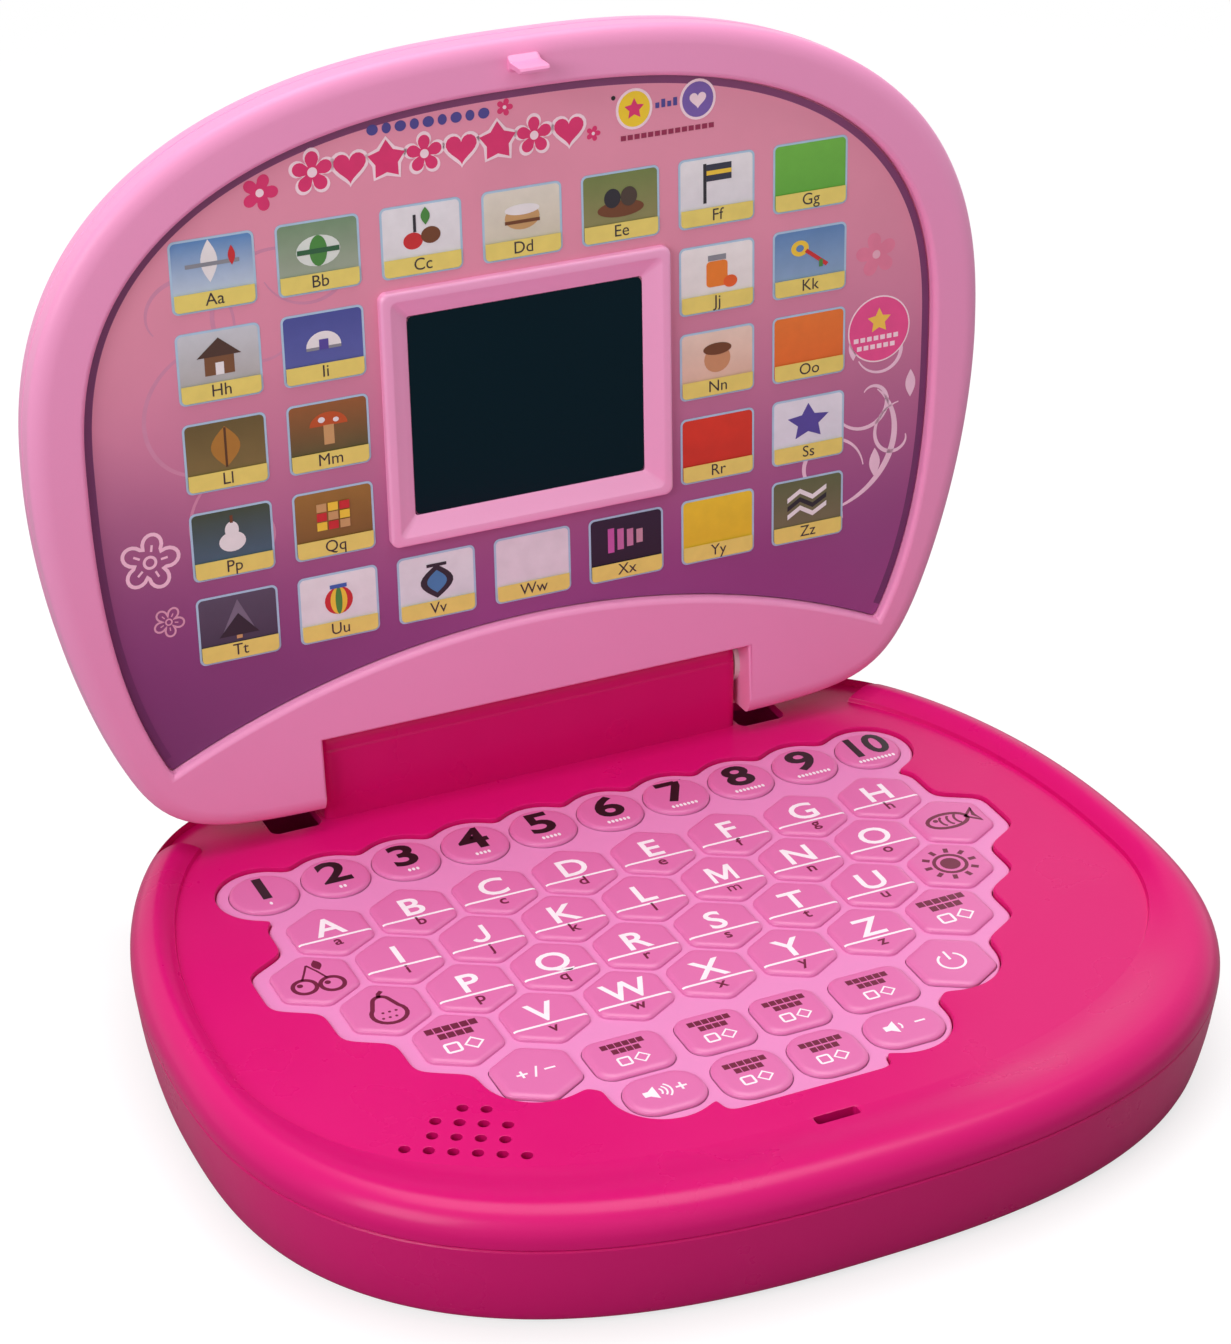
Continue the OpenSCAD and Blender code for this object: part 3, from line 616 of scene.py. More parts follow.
def block_profile(sink):
    """Cross-section of the hinge block, along Y and Z from the hinge axis."""
    low = deck_z - 1 - hinge_z
    points = [(-block_face, low), (block_rear, low)]
    for centre_y, start in ((block_rear - hinge_round, 0),
                            (hinge_round - block_face + ledge_in, 90)):
        for step in range(9):
            turn = math.radians(start + 90 * step / 8)
            points.append((centre_y + hinge_round * math.cos(turn),
                           block_face - hinge_round + hinge_round * math.sin(turn)))
    points += [(ledge_in - block_face, ledge_z), (-block_face, ledge_z - 0.45)]
    return inset(np.array(points), sink)


def hinge_block(side_steps=6):
    """The block with rounded ends: its section shrinks towards each end."""
    rings = []
    for step in range(2 * side_steps + 2):
        end = step > side_steps
        turn = math.pi / 2 * (step - (side_steps + 1 if end else side_steps)) / side_steps
        sink = block_end_round * (1 - math.cos(turn)) * 0.7
        x = block_half - block_end_round + block_end_round * abs(math.sin(turn))
        section = block_profile(sink)
        section[0:2, 1] = deck_z - 1 - hinge_z
        rings.append(np.column_stack([np.full(len(section), x if end else -x), section]))
    piece = loft("hinge_block", rings)
    return place(piece, Matrix.Translation((0, hinge_y * MM, hinge_z * MM)))


carve(base_upper, hinge_block(), "UNION")
print("with the hinge block:", len(base_upper.data.polygons), "faces")

# %% [markdown]
# ## The outline of the keypad
#
# Hexagons and discs that overlap make the scalloped outline of the keypad film. Seen
# from the middle of the keypad every ray leaves the pattern once, so the outline is
# the farthest point at which each ray leaves any of the shapes. A short running mean
# along the outline then rounds its tips and notches, as a cutting die does.

# %% Where the keys are
pitch = 19.0
row_step = pitch * 0.848
first_row_y = 31.5
row_counts = (8, 9, 8, 7)
digit_pitch, digit_r, digit_y = 16.5, 7.6, 51.3
letter_flat = pitch * 0.9
command_keys = {
    "plus_minus_key": (-2.5, -1.8, 0, 0, 0), "music_key": (-1.475, -1.9, 0.92, 0.70, 0.2),
    "letter_key": (-0.45, -1.9, 0.80, 0.70, 0.2), "word_key": (0.45, -1.9, 0.80, 0.70, 0.2),
    "singing_key": (1.475, -1.9, 0.92, 0.70, 0.2), "power_key": (2.5, -1.8, 0, 0, 0),
    "volume_up_key": (-1.42, -2.67, 0.90, 0.66, 0.3),
    "spelling_key": (-0.45, -2.75, 0.80, 0.80, 0.3),
    "question_key": (0.45, -2.75, 0.80, 0.80, 0.3),
    "volume_down_key": (1.42, -2.67, 0.90, 0.66, 0.3)}


def letter_spot(row, i):
    """Centre of a key of the honeycomb, counted from the left."""
    return (i - (row_counts[row] - 1) / 2) * pitch, first_row_y - row * row_step


letter_spots = [letter_spot(row, i) for row in range(4) for i in range(row_counts[row])]
digit_spots = [((k - 4.5) * digit_pitch, digit_y) for k in range(10)]
print("honeycomb keys:", len(letter_spots), "number keys:", len(digit_spots))

# %% The farthest edge along each ray
film_middle = np.array((0.0, 8.0))


def leave_disc(ray, centre, radius):
    """How far each ray goes before it leaves a disc, or 0 where it misses."""
    to_centre = np.array(centre) - film_middle
    along = ray @ to_centre
    inside = along ** 2 - to_centre @ to_centre + radius ** 2
    return np.where(inside > 0, along + np.sqrt(np.maximum(inside, 0)), 0)


def leave_polygon(ray, centre, sides):
    """The same for a convex shape given as (direction in degrees, reach) of its sides."""
    enter, leave = np.full(len(ray), -1e9), np.full(len(ray), 1e9)
    for turn, reach in sides:
        normal = np.array((math.cos(math.radians(turn)), math.sin(math.radians(turn))))
        speed = ray @ normal
        away = reach - normal @ (film_middle - np.array(centre))
        time = away / np.where(speed == 0, 1e-9, speed)
        leave = np.where(speed > 0, np.minimum(leave, time), leave)
        enter = np.where(speed < 0, np.maximum(enter, time), enter)
    return np.where(enter < leave, leave, 0)


film_blocks = ((41.4, 70.1, 9.9), (-32.3, 39.9, 12.4), (-44.65, 18.6, 17.1))


def film_ring(rays=7200, step=0.8, soften=8):
    """Outline of the keypad film, with rounded tips and notches."""
    turn = np.arange(rays) * 2 * np.pi / rays
    ray = np.stack([np.cos(turn), np.sin(turn)], 1)
    hexagon = [(60 * k, pitch * 0.727 * math.cos(math.pi / 6)) for k in range(6)]
    reach = np.max([leave_polygon(ray, spot, hexagon) for spot in letter_spots], 0)
    discs = [(spot, digit_r + 3) for spot in digit_spots]
    discs += [((side * 2.45 * pitch, -1.7 * pitch), 0.64 * pitch) for side in (-1, 1)]
    discs += [((side * 1.4 * pitch, -2.55 * pitch), 0.60 * pitch) for side in (-1, 1)]
    for centre, radius in discs:
        reach = np.maximum(reach, leave_disc(ray, centre, radius))
    for centre_y, half_x, half_y in film_blocks:
        sides = [(0, half_x), (180, half_x), (90, half_y), (270, half_y)]
        reach = np.maximum(reach, leave_polygon(ray, (0, centre_y), sides))
    points = film_middle + ray * reach[:, None]
    gaps = np.linalg.norm(np.roll(points, -1, 0) - points, axis=1)
    travel = np.concatenate([[0], np.cumsum(gaps)])
    even = np.arange(0, travel[-1], step)
    closed = np.vstack([points, points[:1]])
    ring = np.stack([np.interp(even, travel, closed[:, axis]) for axis in (0, 1)], 1)
    for _ in range(soften):
        ring = (np.roll(ring, 1, 0) + ring + np.roll(ring, -1, 0)) / 3
    return ring


film_outline = film_ring()
print("film outline:", len(film_outline), "points, widest", np.round(np.ptp(film_outline, 0), 1))


# %% Openings of the upper shell
def flared(name, ring, low, top, flare=0.35):
    """A cutter that widens near the surface that it opens."""
    return loft(name, [at_height(ring, low), at_height(ring, top - flare),
                       at_height(inset(ring, -0.3 * flare), top - 0.3 * flare),
                       at_height(inset(ring, -flare), top),
                       at_height(inset(ring, -flare), top + 2)])


slot_at = (0, hinge_y - 153)
slot_size = (9.5, 2.6)
grille_at = (-70.4, -52.8)
grille_tilt = -29.6
grille_rows = (6, 4, 4, 2)
grille_step = pitch / 4
grille_hole_r = 1.15

carve(base_upper, prism("hollow", inset(base_ring, wall + 0.6), seam_z - 1, roof_z))
hollow_low = (-block_half + wall, hinge_y - block_face + wall, roof_z - 1)
hollow_high = (block_half - wall, hinge_y + block_rear - wall, hinge_z + block_face - wall)
carve(base_upper, block("block_hollow", hollow_low, hollow_high))
carve(base_upper, flared("film_seat", inset(film_outline, -0.2), contact_z, deck_z))
slot_ring = plate_ring(*slot_size, 0.6, centre=slot_at)
carve(base_upper, flared("slot", slot_ring, roof_z - 1, deck_z, 0.25))
ear_wells = [flared("ear_well",
                    plate_ring(12, 11, 2, centre=(side * (block_half + 7), hinge_y - 2)),
                    roof_z - 1, deck_z, 0.25) for side in (-1, 1)]
carve(base_upper, merged("ear_wells", ear_wells))
print("after the large openings:", len(base_upper.data.polygons), "faces")

# %% [markdown]
# ## Holes by Geometry Nodes
#
# The speaker holes repeat, so a node tree places them: each row is a line of points,
# one cutter is copied to every point, and the copies are made real. The same kind of
# tree later lays out the honeycomb of keys. Its sizes are named inputs, which the
# script sets by their identifiers before the tree first runs.

# %% A tree that lays a source piece out in rows
def rows_tree(name, rows):
    """Rows given as (count, shift along, shift across), shifts counted in steps."""
    tree = bpy.data.node_groups.new(name, "GeometryNodeTree")
    tree.is_modifier = True
    face = tree.interface
    face.new_socket("Geometry", in_out="INPUT", socket_type="NodeSocketGeometry")
    for label in ("Along step", "Across step"):
        face.new_socket(label, in_out="INPUT", socket_type="NodeSocketFloat")
    face.new_socket("Source", in_out="INPUT", socket_type="NodeSocketObject")
    face.new_socket("Finish", in_out="INPUT", socket_type="NodeSocketMaterial")
    face.new_socket("Geometry", in_out="OUTPUT", socket_type="NodeSocketGeometry")
    given = add_node(tree, "NodeGroupInput").outputs
    joined = add_node(tree, "GeometryNodeJoinGeometry")
    for count, along, across in rows:
        x = calculate(tree, "MULTIPLY", given["Along step"], along)
        y = calculate(tree, "MULTIPLY", given["Across step"], across)
        start = add_node(tree, "ShaderNodeCombineXYZ", X=x, Y=y)
        stride = add_node(tree, "ShaderNodeCombineXYZ", X=given["Along step"])
        line = add_node(tree, "GeometryNodeMeshLine", Count=count)
        put(tree, line.inputs["Start Location"], start.outputs[0])
        put(tree, line.inputs["Offset"], stride.outputs[0])
        tree.links.new(line.outputs[0], joined.inputs[0])
    source = add_node(tree, "GeometryNodeObjectInfo", Object=given["Source"])
    copies = add_node(tree, "GeometryNodeInstanceOnPoints")
    put(tree, copies.inputs["Points"], joined.outputs[0])
    put(tree, copies.inputs["Instance"], source.outputs["Geometry"])
    real = add_node(tree, "GeometryNodeRealizeInstances", Geometry=copies.outputs[0])
    finish = add_node(tree, "GeometryNodeSetMaterial", Geometry=real.outputs[0])
    put(tree, finish.inputs["Material"], given["Finish"])
    output = add_node(tree, "NodeGroupOutput")
    put(tree, output.inputs[0], finish.outputs[0])
    return tree


def laid_out(name, tree, source, finish, along_step, across_step):
    """Runs the tree and returns its result as a plain mesh object; the source goes."""
    piece = bpy.data.objects.new(name, bpy.data.meshes.new(name))
    bpy.context.scene.collection.objects.link(piece)
    rows = piece.modifiers.new("rows", "NODES")
    rows.node_group = tree
    values = {"Along step": along_step * MM, "Across step": across_step * MM,
              "Source": source, "Finish": finish}
    for socket in tree.interface.items_tree:
        if socket.in_out == "INPUT" and socket.name in values:
            rows[socket.identifier] = values[socket.name]
    settle(piece)
    bpy.data.objects.remove(source)
    print(f"{name}: {len(piece.data.polygons)} faces laid out")
    return piece


# %% The speaker grille
hole = flared("hole", circle_ring(grille_hole_r, 24), roof_z - 1, deck_z, 0.2)
grille_tree = rows_tree("grille_rows", [(count, -(count - 1) / 2, row)
                                        for row, count in enumerate(grille_rows)])
holes = laid_out("holes", grille_tree, hole, base_plastic, grille_step, grille_step)
place(holes, Matrix.Translation((grille_at[0] * MM, grille_at[1] * MM, 0))
      @ Matrix.Rotation(math.radians(grille_tilt), 4, "Z"))
carve(base_upper, holes)
shade(base_upper)
hand_over(base_upper, "base", base_plastic, ["base_upper_shell"])

# %% [markdown]
# ## Base, lower shell
#
# The lower shell is a bowl that leans in towards the table. Its top edge is chamfered
# like the upper shell's lower edge, so the seam shows as a fine dark line. Underneath
# it carries what such toys have: a battery bay with a door, deep screw holes and
# round seats for the feet.

# %% The bowl
lower_profile = [(4.2, 0), (3.75, 0.25), (3.2, 0.7), (2.85, 1.5), (2.6, 2.4), (2.1, 4.5),
                 (1.6, 7), (1.15, 9.5), (0.8, 12), (0.35, 16)]
lower_rings = [at_height(inset(base_ring, sink), bottom_z + rise) for sink, rise in lower_profile]
lower_rings += [at_height(inset(base_ring, sink), seam_z - drop)
                for sink, drop in ((0.1, 1.0), (0.1, 0.5), (0.35, 0.18), (0.65, 0.02))]
base_lower = loft("base_lower_skin", lower_rings)

# %% The battery bay, feet seats and screw holes
bay_at = (0, 18)
bay_size = (59, 44.6)
door_lip = 4
door_t = 1.2
foot_r = 6
seat_z = bottom_z + 3.6
foot_at = [(side * x, y) for side in (-1, 1)
           for x, y in ((half_width - 25, 50), (half_width - 41, -60))]
case_screw_at = [(side * x, y) for side in (-1, 1)
                 for x, y in ((half_width - 17, -6), (71, 78), (38, -78))]

carve(base_lower, prism("low_hollow", inset(base_ring, wall + 4), floor_z, bottom_z + 7))
carve(base_lower, prism("high_hollow", inset(base_ring, wall + 1.6), bottom_z + 6.9, seam_z + 1))
bay_walls = prism("bay_walls", plate_ring(bay_size[0] + 3.2, bay_size[1] + 3.2, 1, centre=bay_at),
                  bottom_z + 1, contact_z - 1.7)
bosses = [prism("boss", circle_ring(3.6, 32, spot), bottom_z + 1, mate_z)
          for spot in case_screw_at]
carve(base_lower, merged("walls_and_bosses", [bay_walls, *bosses]), "UNION")
carve(base_lower,
      prism("bay", plate_ring(*bay_size, 0.8, centre=bay_at), bottom_z - 1, roof_z + 1))
seats = [prism("door_seat", plate_ring(bay_size[0] + 2 * door_lip, bay_size[1] + 2 * door_lip, 3,
                                       centre=bay_at), bottom_z - 1, bottom_z + door_t + 0.01)]
seats += [prism("screw_well", circle_ring(2.7, 32, spot), bottom_z - 1, seat_z)
          for spot in case_screw_at]
seats += [prism("foot_seat", circle_ring(foot_r, 48, spot), bottom_z - 1, bottom_z + 0.6)
          for spot in foot_at]
carve(base_lower, merged("seats", seats))
carve(base_lower,
      merged("shafts", [prism("shaft", circle_ring(1.4, 24, spot), bottom_z, seam_z + 1)
                        for spot in case_screw_at]))
shade(base_lower)
hand_over(base_lower, "base", base_plastic, ["base_lower_shell"])

# %% [markdown]
# ## Keypad film and keys
#
# One soft film covers all the letter keys: it lies in the recess of the deck, and a
# low hexagonal dome rises over each switch. A node tree lays the domes out in the
# four rows of a honeycomb. The number keys and the command keys move by themselves,
# so each has a cap of its own, which rides on its own body.

# %% Caps with soft edges
def polygon_ring(sides, flat, round_r, centre=(0, 0), first=0.0, steps=5):
    """A regular polygon with rounded corners; flat is its width across the sides."""
    inner = (flat / 2 - round_r) / math.cos(math.pi / sides)
    points = []
    for corner in range(sides):
        turn = first + 2 * math.pi * (corner + 0.5) / sides
        for step in range(steps + 1):
            swing = turn + (step / steps - 0.5) * 2 * math.pi / sides
            points.append((inner * math.cos(turn) + round_r * math.cos(swing),
                           inner * math.sin(turn) + round_r * math.sin(swing)))
    return np.array(points) + np.array(centre, float)


shoulder_h = 0.7 * key_rise


def soft_cap(name, ring, foot, top, edge):
    """A low cap: a short wall, a rounded shoulder, and a flat top."""
    rings = [at_height(ring, foot), at_height(ring, top - shoulder_h)]
    for step in range(1, 7):
        turn = math.pi / 2 * step / 6
        rings.append(at_height(inset(ring, edge * (1 - math.cos(turn))),
                               top - shoulder_h * (1 - math.sin(turn))))
    rings.append(at_height(inset(ring, edge + 0.5), top))
    return loft(name, rings)


def film_pinks(name, low_colour, high_colour, rough):
    """Soft film: its pink deepens from the film up to the key tops."""
    material, tree = new_material(name)
    where = add_node(tree, "ShaderNodeTexCoord").outputs["Object"]
    axes = add_node(tree, "ShaderNodeSeparateXYZ", Vector=where)
    height = spread(tree, axes.outputs["Z"], (film_z + 0.05) * MM, (key_top_z - 0.25) * MM)
    cloud = add_node(tree, "ShaderNodeTexNoise", Vector=where, Scale=30, Detail=3.0)
    dim_colour = (*[0.96 * v for v in low_colour[:3]], 1)
    tone = mix_colours(tree, cloud.outputs["Fac"], dim_colour, low_colour)
    fine = add_node(tree, "ShaderNodeTexNoise", Vector=where, Scale=700, Detail=2.0)
    bump = add_node(tree, "ShaderNodeBump", Strength=0.03, Distance=0.001,
                    Height=fine.outputs["Fac"])
    surface = add_node(tree, "ShaderNodeBsdfPrincipled", Roughness=rough,
                       Base_Color=mix_colours(tree, height, tone, high_colour),
                       Normal=bump.outputs["Normal"])
    end_tree(tree, surface.outputs["BSDF"])
    return material


film_finish = film_pinks("film_finish", linear(234, 142, 198), linear(222, 112, 172), 0.34)

# %% The film
film_round = 0.5
film_rings = [at_height(inset(film_outline, 0.02), film_floor_z),
              at_height(film_outline, film_z - film_round)]
for step in range(1, 5):
    turn = math.pi / 2 * step / 4
    film_rings.append(at_height(inset(film_outline, film_round * (1 - math.cos(turn))),
                                film_z - film_round + film_round * math.sin(turn)))
film_rim = inset(film_outline, 0.75)
film_rings += [at_height(film_middle + (film_rim - film_middle) * share, film_z)
               for share in (1, 0.8, 0.5, 0.02)]
film_rings.insert(0, at_height(film_middle + (film_rim - film_middle) * 0.02, film_floor_z))
film = loft("keypad_film", film_rings)

# %% Wells that the moving keys sink into
cap_round = 2.6
well_floor_z = film_z - 0.85
well_gap = 0.18


def command_ring(name):
    """Outline of a command key, in its place."""
    x, y, wide, tall, corner = command_keys[name]
    spot = (x * pitch, y * pitch)
    if wide == 0:
        return polygon_ring(6, letter_flat, cap_round, spot)
    return plate_ring(wide * pitch, tall * pitch, corner * pitch, centre=spot)


cap_rings = {f"digit_key_{number}": circle_ring(digit_r, 64, spot)
             for number, spot in enumerate(digit_spots, 1)}
cap_rings.update((name, command_ring(name)) for name in command_keys)
for ring in cap_rings.values():
    carve(film, prism("well", inset(ring, -well_gap), well_floor_z, film_z + 1))
print("wells cut:", len(cap_rings))

# %% The honeycomb of domes
hex_ring = polygon_ring(6, letter_flat, cap_round)
dome_edge, digit_edge, command_edge = 1.3, 1.0, 1.5
dome_source = soft_cap("dome_source", hex_ring, film_floor_z, key_top_z, dome_edge)
dome_rows = [(count, -(count - 1) / 2, -row) for row, count in enumerate(row_counts)]
domes = laid_out("domes", rows_tree("honeycomb", dome_rows), dome_source, film_finish,
                 pitch, row_step)
place(domes, Matrix.Translation((0, first_row_y * MM, 0)))
overlay = merged("keypad_film", [film, domes])
shade(overlay, 40)
hand_over(overlay, "base", film_finish, ["keypad_overlay"])


# %% Caps of the number and command keys
for name, ring in cap_rings.items():
    edge = digit_edge if name.startswith("digit") else command_edge
    cap = soft_cap(name.replace("_key", "_cap"), ring, film_z - 0.05, key_top_z, edge)
    shade(cap, 40)
    hand_over(cap, name, film_finish, [name])

# %% [markdown]
# ## Printing
#
# All print is built the same way. An outline becomes a closed plate a few hundredths
# of a millimetre thick, laid on the surface below it, and each point of it carries its
# ink as a colour attribute. One material reads that attribute, so a whole printed
# sheet is one mesh with one finish. Layers of ink are raised by a hair over each
# other, as they are in screen printing.

# %% Sheets of ink
INK = 0.03    # height of one layer


def new_sheet():
    """An empty sheet: points, faces and the ink of each point."""
    return {"points": [], "faces": [], "inks": [], "count": 0}


def add_solid(sheet, points, faces, inks):
    """Adds a closed little solid to a sheet."""
    sheet["points"].append(points)
    sheet["faces"] += [tuple(i + sheet["count"] for i in face) for face in faces]
    sheet["inks"].append(inks)
    sheet["count"] += len(points)


def inks_of(flat, ink):
    """One ink for every point, or a fade between two inks from low to high Y."""
    if isinstance(ink, dict):
        share = np.clip((flat[:, 1] - ink["y"][0]) / (ink["y"][1] - ink["y"][0]), 0, 1)[:, None]
        return (1 - share) * np.array(ink["low"]) + share * np.array(ink["high"])
    return np.tile(np.array(ink, float), (len(flat), 1))


def raised(flat, layer, lay):
    """The lower and the upper points of ink on one layer."""
    return np.concatenate([lay(flat, (layer - 0.7) * INK), lay(flat, layer * INK)])


def patch(sheet, ring, ink, layer, lay):
    """A filled outline; lay(points, lift) puts flat points on the surface."""
    ring = np.asarray(ring, float)
    turn = np.sum(ring[:, 0] * np.roll(ring[:, 1], -1) - ring[:, 1] * np.roll(ring[:, 0], -1))
    ring = ring if turn > 0 else ring[::-1]
    add_solid(sheet, raised(ring, layer, lay), ring_faces(len(ring), 2),
              np.tile(inks_of(ring, ink), (2, 1)))


def ribbon(sheet, path, width, ink, layer, lay, closed=False):
    """A line of ink along a path; the width may change along it."""
    path = np.asarray(path, float)
    ahead = np.roll(path, -1, 0) - np.roll(path, 1, 0)
    if not closed:
        ahead[0], ahead[-1] = path[1] - path[0], path[-1] - path[-2]
    ahead /= np.linalg.norm(ahead, axis=1)[:, None] + 1e-9
    half = np.broadcast_to(width, len(path))[:, None] / 2
    side = np.stack([-ahead[:, 1], ahead[:, 0]], 1) * half
    flat = np.concatenate([path - side, path + side])
    n = len(path)
    faces = []
    for i in range(n if closed else n - 1):
        j = (i + 1) % n
        faces += [(2 * n + i, 2 * n + j, 3 * n + j, 3 * n + i), (i, n + i, n + j, j),
                  (i, j, 2 * n + j, 2 * n + i), (n + j, n + i, 3 * n + i, 3 * n + j)]
    if not closed:
        e = n - 1
        faces += [(0, 2 * n, 3 * n, n), (e, n + e, 3 * n + e, 2 * n + e)]
    add_solid(sheet, raised(flat, layer, lay), faces, np.tile(inks_of(flat, ink), (2, 1)))


def print_material():
    """Reads the ink of each point; a faint grain keeps large areas alive."""
    material, tree = new_material("print_ink")
    ink = add_node(tree, "ShaderNodeAttribute", attribute_name="ink", attribute_type="GEOMETRY")
    where = add_node(tree, "ShaderNodeTexCoord").outputs["Object"]
    grain = add_node(tree, "ShaderNodeTexNoise", Vector=where, Scale=260, Detail=3.0)
    level = spread(tree, grain.outputs["Fac"], 0.0, 1.0, 0.9, 1.1)
    colour = add_node(tree, "ShaderNodeVectorMath", operation="SCALE",
                      Vector=ink.outputs["Color"], Scale=level)
    surface = add_node(tree, "ShaderNodeBsdfPrincipled", Base_Color=colour.outputs["Vector"],
                       Roughness=0.38)
    end_tree(tree, surface.outputs["BSDF"])
    return material


print_ink = print_material()


def print_sheet(name, sheet, body, matrix=None):
    """Turns a sheet into a mesh on its body."""
    piece = new_piece(name, np.concatenate(sheet["points"]), sheet["faces"])
    inks = piece.data.color_attributes.new("ink", "FLOAT_COLOR", "POINT")
    inks.data.foreach_set("color", np.concatenate(sheet["inks"]).ravel())
    if matrix is not None:
        place(piece, matrix)
    return hand_over(piece, body, print_ink)


# %% Flat shapes
def ellipse(x, y, wide, tall=None, count=22, start=0, end=360):
    """Ellipse, or part of one, by its half width and half height."""
    whole = end - start == 360
    turn = np.radians(np.linspace(start, end, count, endpoint=not whole))
    tall = wide if tall is None else tall
    return np.stack([x + wide * np.cos(turn), y + tall * np.sin(turn)], 1)


def bar(x0, y0, x1, y1):
    """A rectangle between two corners."""
    return np.array([(x0, y0), (x1, y0), (x1, y1), (x0, y1)])


def star(x, y, radius, tips=5, depth=0.45, first=90):
    """A star, or a flower when the tips are many and shallow."""
    turn = np.radians(first + np.arange(2 * tips) * 180 / tips)
    reach = np.where(np.arange(2 * tips) % 2 == 0, radius, radius * depth)
    return np.stack([x + reach * np.cos(turn), y + reach * np.sin(turn)], 1)


def flower(x, y, radius, petals=5, depth=0.32, first=90, count=60):
    """A flower outline with round petals."""
    turn = np.linspace(0, 2 * np.pi, count, endpoint=False)
    swing = np.abs(np.cos(petals * (turn - np.radians(first)) / 2)) ** 0.55
    reach = radius * (depth + (1 - depth) * swing)
    return np.stack([x + reach * np.cos(turn), y + reach * np.sin(turn)], 1)


def heart(x, y, size, count=30):
    """A heart outline."""
    turn = np.linspace(0, 2 * np.pi, count, endpoint=False)
    across = 16 * np.sin(turn) ** 3
    up = 13 * np.cos(turn) - 5 * np.cos(2 * turn) - 2 * np.cos(3 * turn) - np.cos(4 * turn)
    return np.stack([x + size * across / 17, y + size * up / 17], 1)


def drop(x, y, wide, tall, count=20):
    """A leaf with a point at both ends."""
    share = np.linspace(0, 1, count // 2)
    bulge = np.sin(np.pi * share) * wide
    up = y + tall * (2 * share - 1)
    return np.concatenate([np.stack([x + bulge, up], 1), np.stack([x - bulge, up], 1)[::-1][1:-1]])


def curl(x, y, start_r, end_r, start, end, count=30):
    """A spiral path for a vine."""
    share = np.linspace(0, 1, count)
    reach = start_r + (end_r - start_r) * share
    turn = np.radians(start + (end - start) * share)
    return np.stack([x + reach * np.cos(turn), y + reach * np.sin(turn)], 1)


# %% Letters and figures
glyph_store = {}


def glyph(text, bold):
    """Filled letters as points (Z from -0.5 to 0.5) and faces, with capitals 1 high."""
    if (text, bold) in glyph_store:
        return glyph_store[text, bold]
    curve = bpy.data.curves.new("letters", "FONT")
    curve.body = text
    curve.align_x = "CENTER"
    curve.resolution_u = 4
    curve.extrude = 0.5
    curve.offset = bold
    holder = bpy.data.objects.new("letters", curve)
    bpy.context.scene.collection.objects.link(holder)
    mesh = evaluated_mesh(holder)
    work = bmesh.new()
    work.from_mesh(mesh)
    bmesh.ops.remove_doubles(work, verts=work.verts, dist=1e-4)
    bmesh.ops.recalc_face_normals(work, faces=work.faces)
    points = np.array([v.co for v in work.verts])
    faces = [tuple(v.index for v in face.verts) for face in work.faces]
    work.free()
    bpy.data.objects.remove(holder)
    bpy.data.curves.remove(curve)
    bpy.data.meshes.remove(mesh)
    glyph_store[text, bold] = points, faces
    return points, faces


cap_points, _ = glyph("H", 0.0)
cap_low, cap_height = cap_points[:, 1].min(), np.ptp(cap_points[:, 1])


def lettering(sheet, text, x, y, height, ink, layer, lay, bold=0.0, wide=1.0):
    """Letters on their base line y, centred on x; height is that of a capital."""
    points, faces = glyph(text, bold)
    flat = np.stack([x + points[:, 0] * height / cap_height * wide,
                     y + (points[:, 1] - cap_low) * height / cap_height], 1)
    low, high = np.split(raised(flat, layer, lay), 2)
    solid = np.where(points[:, 2:3] > 0, high, low)
    add_solid(sheet, solid, faces, inks_of(flat, ink))


white_ink = linear(250, 240, 246)
black_ink = linear(8, 4, 7)
maroon_ink = linear(104, 8, 50)
print("print tools ready; a capital is", round(cap_height, 3), "of the letter size")

# %% [markdown]
# ## Legends of the keys
#
# Legends follow the caps: a point near the edge of a cap is lowered with the cap's
# shoulder. The white underline of each letter key runs over both shoulders, so it is
# cut into short steps.

# %% Laying ink on a cap
def cap_lay(ring, edge):
    """A lay function for a convex cap outline."""
    ahead = np.roll(ring, -1, 0) - ring
    inwards = np.stack([-ahead[:, 1], ahead[:, 0]], 1) / np.linalg.norm(ahead, axis=1)[:, None]

    def lay(flat, lift):
        depth = np.min(flat @ inwards.T - np.sum(ring * inwards, 1), 1)
        share = np.clip(1 - np.clip(depth, 0, None) / edge, 0, 1)
        fall = shoulder_h * (1 - np.sqrt(1 - share ** 2))
        return np.column_stack([flat, key_top_z - fall + lift])
    return lay


def speckled_rows(sheet, x, y, lay, rows=((-3.4, 6), (-1.3, 4))):
    """Rows of small marks where such a key has its name."""
    for drop_y, count in rows:
        for k in range(count):
            left = x + (k - count / 2) * 1.6
            patch(sheet, bar(left + 0.1, y - drop_y - 0.8, left + 1.5, y - drop_y + 0.8),
                  maroon_ink, 1, lay)


def white_pair(sheet, x, y, lay):
    """Two small white signs: a square and a diamond, both hollow."""
    ribbon(sheet, plate_ring(2.5, 2.5, 0.3, 2, (x - 1.9, y)), 0.5, white_ink, 1, lay, closed=True)
    ribbon(sheet, star(x + 1.9, y, 1.6, 2, 1.0, 0), 0.5, white_ink, 1, lay, closed=True)


# %% The letters
row_signs = ["ABCDEFGH", "1IJKLMNO2", "3PQRSTU4", "5VWXYZ6"]
capital_m = np.array([(-0.5, 0), (-0.5, 1), (-0.31, 1), (0, 0.36), (0.31, 1), (0.5, 1), (0.5, 0),
                      (0.35, 0), (0.35, 0.68), (0.07, 0.1), (-0.07, 0.1), (-0.35, 0.68),
                      (-0.35, 0)])


